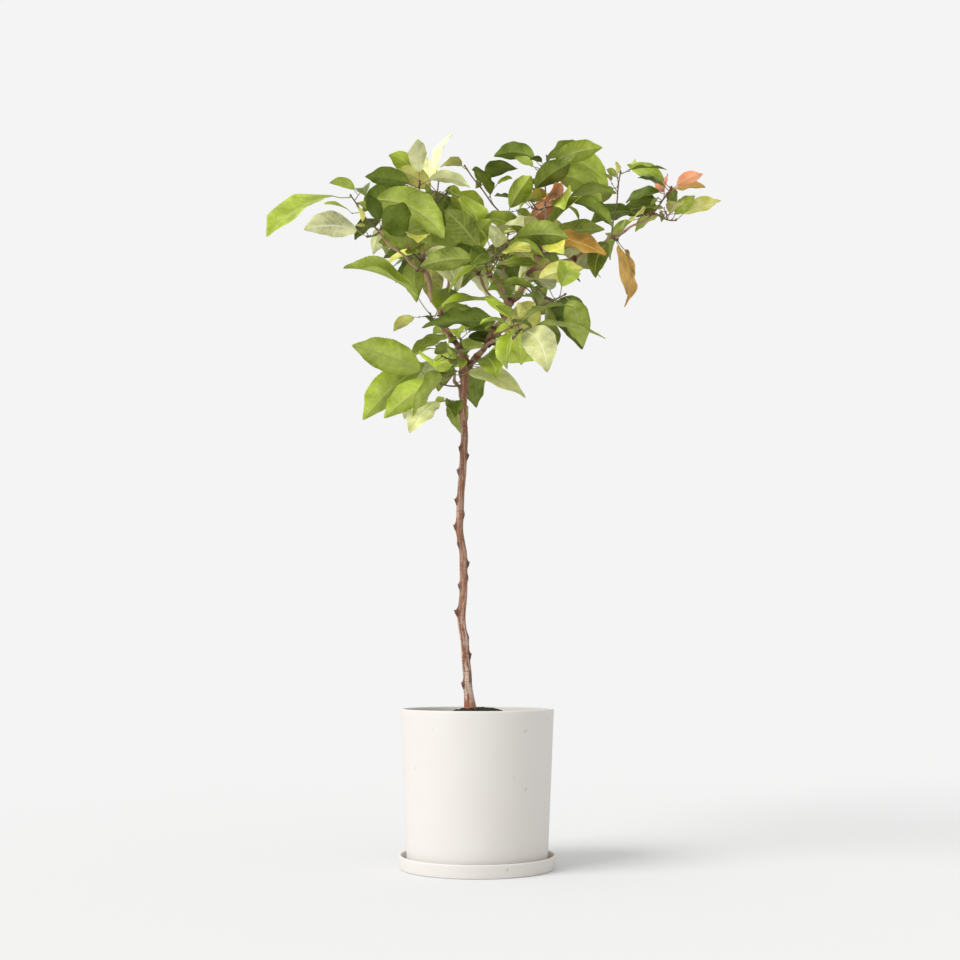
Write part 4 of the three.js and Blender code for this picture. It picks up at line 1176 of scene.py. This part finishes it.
buds = []
bud_roll = dice(311)
for mass in masses:
    for leaf in mass.leaves:
        if not leaf.small:
            buds.append((leaf.node + UP * 0.8 + leaf.ahead * 0.8, leaf.ahead * 0.7 + UP, AXIL_BUD))
    for shoot in [*mass.shoots, *mass.fine]:
        size = TIP_BUD * (0.7 if shoot in mass.fine else 1)
        way = shoot.axes(0.99)[1]
        buds.append((shoot.at(1) - way, way, size))
for name, share, half in SPURS:
    limb = limbs[name]
    for k in range(SPUR_BUDS):
        spot = share + (bud_roll() - 0.5) * 1.4 * half / limb.length
        side, along, up = limb.axes(spot)
        angle = math.radians(GOLDEN_TURN * k + 360 * bud_roll())
        out = up * math.cos(angle) + side * math.sin(angle)
        size = SPUR_BUD * (0.6 + 0.7 * bud_roll())
        buds.append((limb.at(spot) + out * 0.85 * limb.radius(spot), out + along * 0.5, size))
for level, heading, out in KNOTS:
    share = (level + 1 - trunk_foot[2]) / trunk_line.length
    way = heading_way(heading, 0)
    radius = trunk_radius(share, way[0], way[1])[0]
    if out > KNOT_WITH_BUD:
        spot = trunk_line.at(share) + way * (FACET_SHARE * radius - 1.4)
        buds.append((spot, way + UP * 0.9, KNOT_BUD * (0.6 + 0.1 * out)))
bud_mesh = new_mesh("bud_spots", [spot for spot, _, _ in buds], [], [])
add_marks(bud_mesh, {"aim": [aim for _, aim, _ in buds], "size": [size * MM for _, _, size in buds]})
form = bud_form()
bud_piece = grown_piece("scaly_buds", bud_mesh, bud_tree(), {
    "Form": form, "Skin": young_bark("scaly_bud_skin", BUD_BROWN, BUD_RED, 1.6, 0.5)})
bpy.data.objects.remove(form)
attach(bud_piece, "root")
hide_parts(*mass_nodes, *LIMBS, "trunk")

# Leaves: oval, folded along the midrib, toothed at the edge and drawn out to a point, quilted
# between the side veins. Each is one closed thin blade, satin above and paler and duller below,
# in one of eight tints from deep green to lime, cream, ochre and the russet of young leaves.
STATIONS = 44
STRIPS = (-1, -0.82, -0.6, -0.34, -0.07, 0, 0.07, 0.34, 0.6, 0.82, 1)
SMALL_STATIONS = 20
SMALL_STRIPS = (-1, -0.55, -0.09, 0, 0.09, 0.55, 1)
TOOTH = 0.025
NOTCH = 0.02
VEIN_PAIRS = 9
VEIN_SLANT = 1.9
QUILT = 0.3
BLADE_SKIN = 0.5
# The least of each and what chance adds: fold along the midrib, height and number of waves.
LEAF_FOLD = (0.14, 0.42)
LEAF_WAVE = (0.05, 0.11)
LEAF_WAVES = (1.5, 1.5)
LEAF_TWIST = 44
LEAF_BEND = 0.05
RIB_DEPTH = 0.75
RIB_WIDTH = 1.3
BACK_START = 45
LEAF_CLOUD = 26
LEAF_MOTTLE = 7
# The size of the broad soft patches of painted shade and painted light on the leaves.
PAINTED_SHADE_SIZE = 36
VEIN_NET = 2.4
# Each tint: the colour of the blade above, of its under side, and of its veins. Each skin is painted
# towards the other's colour in its pale patches and its painted glow.
TINTS = {
    "deep": ("#49590e", "#6f7f33", "#7d8946"),
    "mid": ("#72821d", "#98a54c", "#a8b064"),
    "bright": ("#94a922", "#aebd54", "#bdc772"),
    "lime": ("#adac32", "#cbca7c", "#d2d28c"),
    "cream": ("#dcdf9e", "#e8e8b0", "#eff0cc"),
    "sage": ("#aaac6e", "#c5c894", "#cecfa2"),
    "ochre": ("#cf9a40", "#dab062", "#e0c07c"),
    "russet": ("#c47a54", "#d2946e", "#daa888"),
}


def leaf_skin(name, blade, pale, vein, lower):
    """A leaf's skin: waxy satin green above, dull and paler below. It is paler in cloudy patches, its own
    uneven tone mixed with a painted glow of light shining through, and painted paler towards the edge as
    that glow. Broad soft patches of painted shade and light lie over it as if the blade were bowed, and
    it has light veins.
    The finest net of veins, under a millimetre in life, is drawn as coarse as it needs to show."""
    skin, tree = start_skin(name)
    uv = add_node(tree, "ShaderNodeUVMap", uv_map="blade")
    split = add_node(tree, "ShaderNodeSeparateXYZ", {0: uv})
    centred = add_node(tree, "ShaderNodeMath", {0: split, 1: 2.0, 2: -1.0}, operation="MULTIPLY_ADD")
    out = add_node(tree, "ShaderNodeMath", {0: centred}, operation="ABSOLUTE")
    slant = add_node(tree, "ShaderNodeMath", {0: out, 1: -VEIN_SLANT}, operation="MULTIPLY")
    run = add_node(tree, "ShaderNodeMath", {
        0: split.outputs["Y"], 1: float(VEIN_PAIRS), 2: slant}, operation="MULTIPLY_ADD")
    cycle = add_node(tree, "ShaderNodeMath", {0: run, 1: 0.5}, operation="PINGPONG")
    side_veins = add_node(tree, "ShaderNodeMapRange", {
        0: cycle, 1: 0.02, 2: 0.1, 3: 0.5 if lower else 0.24, 4: 0.0})
    midrib = add_node(tree, "ShaderNodeMapRange", {0: out, 1: 0.03, 2: 0.09, 3: 0.85, 4: 0.0})
    veins = add_node(tree, "ShaderNodeMath", {0: side_veins, 1: midrib}, operation="MAXIMUM")
    where = add_node(tree, "ShaderNodeTexCoord").outputs["Object"]
    clouds = add_node(tree, "ShaderNodeTexNoise", {
        "Vector": where, "Scale": 1 / (LEAF_CLOUD * MM), "Detail": 5, "Roughness": 0.62})
    # Painted glow: the skin is painted paler towards its edge and in cloudy patches, as if light were
    # shining through the blade. The patches are partly its own uneven tone.
    edge = add_node(tree, "ShaderNodeMath", {0: out, 1: 3.0}, operation="POWER")
    tone_and_painted_glow = add_node(tree, "ShaderNodeMath", {0: edge, 1: 0.22, 2: clouds}, operation="MULTIPLY_ADD")
    pale_share_and_painted_glow = add_node(tree, "ShaderNodeMapRange", {0: tone_and_painted_glow, 1: 0.45, 2: 0.76, 3: 0.0, 4: 0.9})
    ground = add_node(tree, "ShaderNodeMix", {0: pale_share_and_painted_glow, 6: blade, 7: pale}, data_type="RGBA")
    mottle = add_node(tree, "ShaderNodeTexNoise", {
        "Vector": where, "Scale": 1 / (LEAF_MOTTLE * MM), "Detail": 4, "Roughness": 0.65})
    shade = add_node(tree, "ShaderNodeAttribute", attribute_name="leaf_shade")
    leaf_tone = add_node(tree, "ShaderNodeMath", {
        0: mottle, 1: 0.9, 2: shade.outputs["Fac"]}, operation="MULTIPLY_ADD")
    # Painted shade: broad soft patches darken and lighten the blade, as if it were bowed towards and away
    # from the light.
    painted_shade_patches = add_node(tree, "ShaderNodeTexNoise", {
        "Vector": where, "Scale": 1 / (PAINTED_SHADE_SIZE * MM), "Detail": 1, "Roughness": 0.5})
    tone_and_painted_shade = add_node(tree, "ShaderNodeMath", {0: painted_shade_patches, 1: 1.9, 2: leaf_tone}, operation="MULTIPLY_ADD")
    value = add_node(tree, "ShaderNodeMapRange", {0: tone_and_painted_shade, 1: 0.95, 2: 2.85, 3: 0.36, 4: 1.88})
    toned = add_node(tree, "ShaderNodeHueSaturation", {"Value": value, "Color": ground})
    colour = add_node(tree, "ShaderNodeMix", {0: veins, 6: toned, 7: vein}, data_type="RGBA")
    cells = add_node(tree, "ShaderNodeTexVoronoi", {"Vector": where, "Scale": 1 / (VEIN_NET * MM)})
    net = add_node(tree, "ShaderNodeMath", {0: cells, 1: 0.3, 2: veins}, operation="MULTIPLY_ADD")
    bump = add_node(tree, "ShaderNodeBump", {
        "Strength": 0.85, "Distance": 0.6 * MM, "Height": net}, invert=not lower)
    return finish_skin(skin, colour, bump, {
        "Roughness": 0.66 if lower else 0.37, "Specular IOR Level": 0.16})


leaf_skins = {}
for tint, (upper, under, vein) in TINTS.items():
    leaf_skins[tint] = (
        leaf_skin(tint + "_leaf_above", upper, under, vein, False),
        leaf_skin(tint + "_leaf_below", under, upper, vein, True))


def blade_body(leaf, roll):
    """Points and blade coordinates of one closed leaf: upper skin, then lower, ring by ring."""
    stations = SMALL_STATIONS if leaf.small else STATIONS
    strips = np.array(SMALL_STRIPS if leaf.small else STRIPS)
    calm = 0.5 if leaf.small else 1
    fold = LEAF_FOLD[0] + LEAF_FOLD[1] * roll() ** 2
    wave = calm * (LEAF_WAVE[0] + LEAF_WAVE[1] * roll())
    turns = LEAF_WAVES[0] + LEAF_WAVES[1] * roll()
    phase = 6.3 * roll()
    twist = LEAF_TWIST * (roll() - 0.5)
    bend = LEAF_BEND * leaf.length * (roll() - 0.5)
    t, across = np.meshgrid(np.arange(1, stations + 1) / (stations + 1), strips, indexing="ij")
    edge = abs(across) ** 8
    odd = np.broadcast_to((np.arange(stations) % 2)[:, None], t.shape)
    t = t + 0.35 / stations * edge * odd
    tip = np.clip((t - 0.78) / 0.2, 0, 1)
    half = 0.5 * leaf.width * blade_share(t) * (1 - 0.32 * tip * (2 - tip) * (1 - 0.4 * tip))
    half = half * (1 + TOOTH * edge * (odd - 0.4))
    half = half * (1 + NOTCH * calm * np.sin(2 * math.pi * (turns + 2.3) * t + 9 * phase
                                             + 2.6 * (across > 0)))
    slope = math.atan(fold)
    out = across * math.cos(slope) / math.cos(math.atan(BLADE_FOLD))
    lift = abs(across) ** 1.25 * math.sin(slope)
    lift = lift + wave * across ** 2 * np.sin(2 * math.pi * turns * t + phase + 1.9 * (across > 0))
    quilt = np.cos(2 * math.pi * (VEIN_PAIRS * t - VEIN_SLANT * abs(across)))
    relief = -QUILT * quilt * (1 - edge) * np.clip(abs(across) * 6, 0, 1) * min(1, leaf.length / 90)
    upper, up = leaf.spots(t, out, half, lift, twist, bend)
    upper = upper + up * relief[..., None]
    rib = RIB_DEPTH * np.exp(-((across * half / RIB_WIDTH) ** 2)) * (1 - t) ** 0.5
    lower = (upper - up * (BLADE_SKIN + rib * min(1, leaf.length / 70))[..., None])[:, -2:0:-1]
    rings = np.concatenate([upper, lower], axis=1)
    ends = np.array([[0.0], [1.0]])
    poles = leaf.spots(ends, 0 * ends, 1 + 0 * ends, 0 * ends, twist, bend)[0][:, 0]
    points = np.vstack([poles[:1], rings.reshape(-1, 3), poles[1:]])
    u = np.concatenate([across, across[:, -2:0:-1]], axis=1) * 0.5 + 0.5
    v = np.concatenate([t, t[:, -2:0:-1]], axis=1)
    flat = np.stack([u, v], -1).reshape(-1, 2)
    uv = np.vstack([[0.5, 0], flat, [0.5, 1]])
    sides = rings.shape[1]
    above = np.tile(np.arange(sides) < len(strips) - 1, stations + 1)
    return points, uv, skin_faces(stations, sides), above


def leaf_piece(name, owners):
    """All leaves of some masses in one mesh, with two skins for each tint."""
    points, uv, faces, skins, shades, start = [], [], [], [], [], 0
    used = []
    for mass in owners:
        for index, leaf in enumerate(mass.leaves):
            roll = dice(mass.seed * 31 + index)
            body, coordinates, skin, above = blade_body(leaf, roll)
            for finish in leaf_skins[leaf.tint]:
                if finish not in used:
                    used.append(finish)
            top, under = (used.index(finish) for finish in leaf_skins[leaf.tint])
            skins.append(np.where(above, top, under))
            faces += [[start + corner for corner in face] for face in skin]
            points.append(body)
            uv.append(coordinates)
            shades.append(np.full(len(body), roll()))
            start += len(body)
    piece = mesh_piece(
        name, np.vstack(points), faces, used, np.concatenate(skins), np.vstack(uv),
        {"leaf_shade": np.concatenate(shades)}, crease=60)
    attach(piece, "root")
    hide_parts(*[mass.name + "_leaves" for mass in owners])


def side_of(mass):
    """The piece that a mass of plain green leaves belongs to, by where it stands."""
    middle = mass.shoots[0].at(1)
    if middle[1] > BACK_START:
        return "back_leaves"
    return "left_leaves" if middle[0] < 0 else "right_leaves"


green = [mass for mass in masses if mass.name not in YOUNG + RUSSET]
leaf_piece("young_leaves", [mass for mass in masses if mass.name in YOUNG])
leaf_piece("russet_leaves", [mass for mass in masses if mass.name in RUSSET])
for name in ("left_leaves", "right_leaves", "back_leaves"):
    leaf_piece(name, [mass for mass in green if side_of(mass) == name])

# Floor: a plain pale studio floor that runs on to the horizon, where it meets a backdrop of the
# same tone, and two lights: an even white surround and one large soft lamp high on the left.
FLOOR_REACH = 40000
FLOOR_SINK = 0.2
SURROUND = 0.905
FLOOR_TONE = 0.66
LAMP_AIM = (0.66, 0.45, -0.6)
LAMP_WIDTH = 38

floor_corners = [
    (x * FLOOR_REACH, y * FLOOR_REACH, -FLOOR_SINK) for x, y in ((-1, -1), (1, -1), (1, 1), (-1, 1))]
floor = new_object("studio_floor", new_mesh("studio_floor", floor_corners, [], [(0, 1, 2, 3)]))
paint, paint_tree = start_skin("matt_white_floor_paint")
paint_body = paint_tree.nodes["Principled BSDF"]
paint_body.inputs["Base Color"].default_value = (FLOOR_TONE, FLOOR_TONE, FLOOR_TONE, 1)
paint_body.inputs["Roughness"].default_value = 1
paint_body.inputs["Specular IOR Level"].default_value = 0
floor.data.materials.append(paint)

world = bpy.data.worlds.new("studio_surround")
bpy.context.scene.world = world
world.use_nodes = True
surround = world.node_tree.nodes["Background"]
surround.inputs["Color"].default_value = (SURROUND, SURROUND, SURROUND, 1)
surround.inputs["Strength"].default_value = 1

lamp_way = Vector(LAMP_AIM).normalized()
lamp_data = bpy.data.lights.new("soft_lamp", "SUN")
lamp_data.energy = math.pi * SURROUND * (1 / FLOOR_TONE - 1) / -lamp_way.z
lamp_data.angle = math.radians(LAMP_WIDTH)
lamp_data.color = (1, 0.998, 0.99)
lamp = new_object("soft_lamp", lamp_data)
lamp.rotation_euler = lamp_way.to_track_quat("-Z", "Y").to_euler()

# Camera: as in the photograph it stands 2.26 m in front of the pot, a little higher than the
# pot's rim, and is tilted up a little.
CAMERA_PLACE = (4.3, -2258, 325)
CAMERA_TILT = 7.51
CAMERA_LENS = 51.69

camera_data = bpy.data.cameras.new("photo_camera")
camera_data.lens = CAMERA_LENS
camera_data.sensor_width = 36
camera_data.clip_end = 200
camera = new_object("photo_camera", camera_data)
camera.location = [v * MM for v in CAMERA_PLACE]
camera.rotation_euler = (math.radians(90 + CAMERA_TILT), 0, 0)
bpy.context.scene.camera = camera
bpy.context.scene.view_settings.view_transform = "Standard"
bpy.context.scene.view_settings.look = "None"
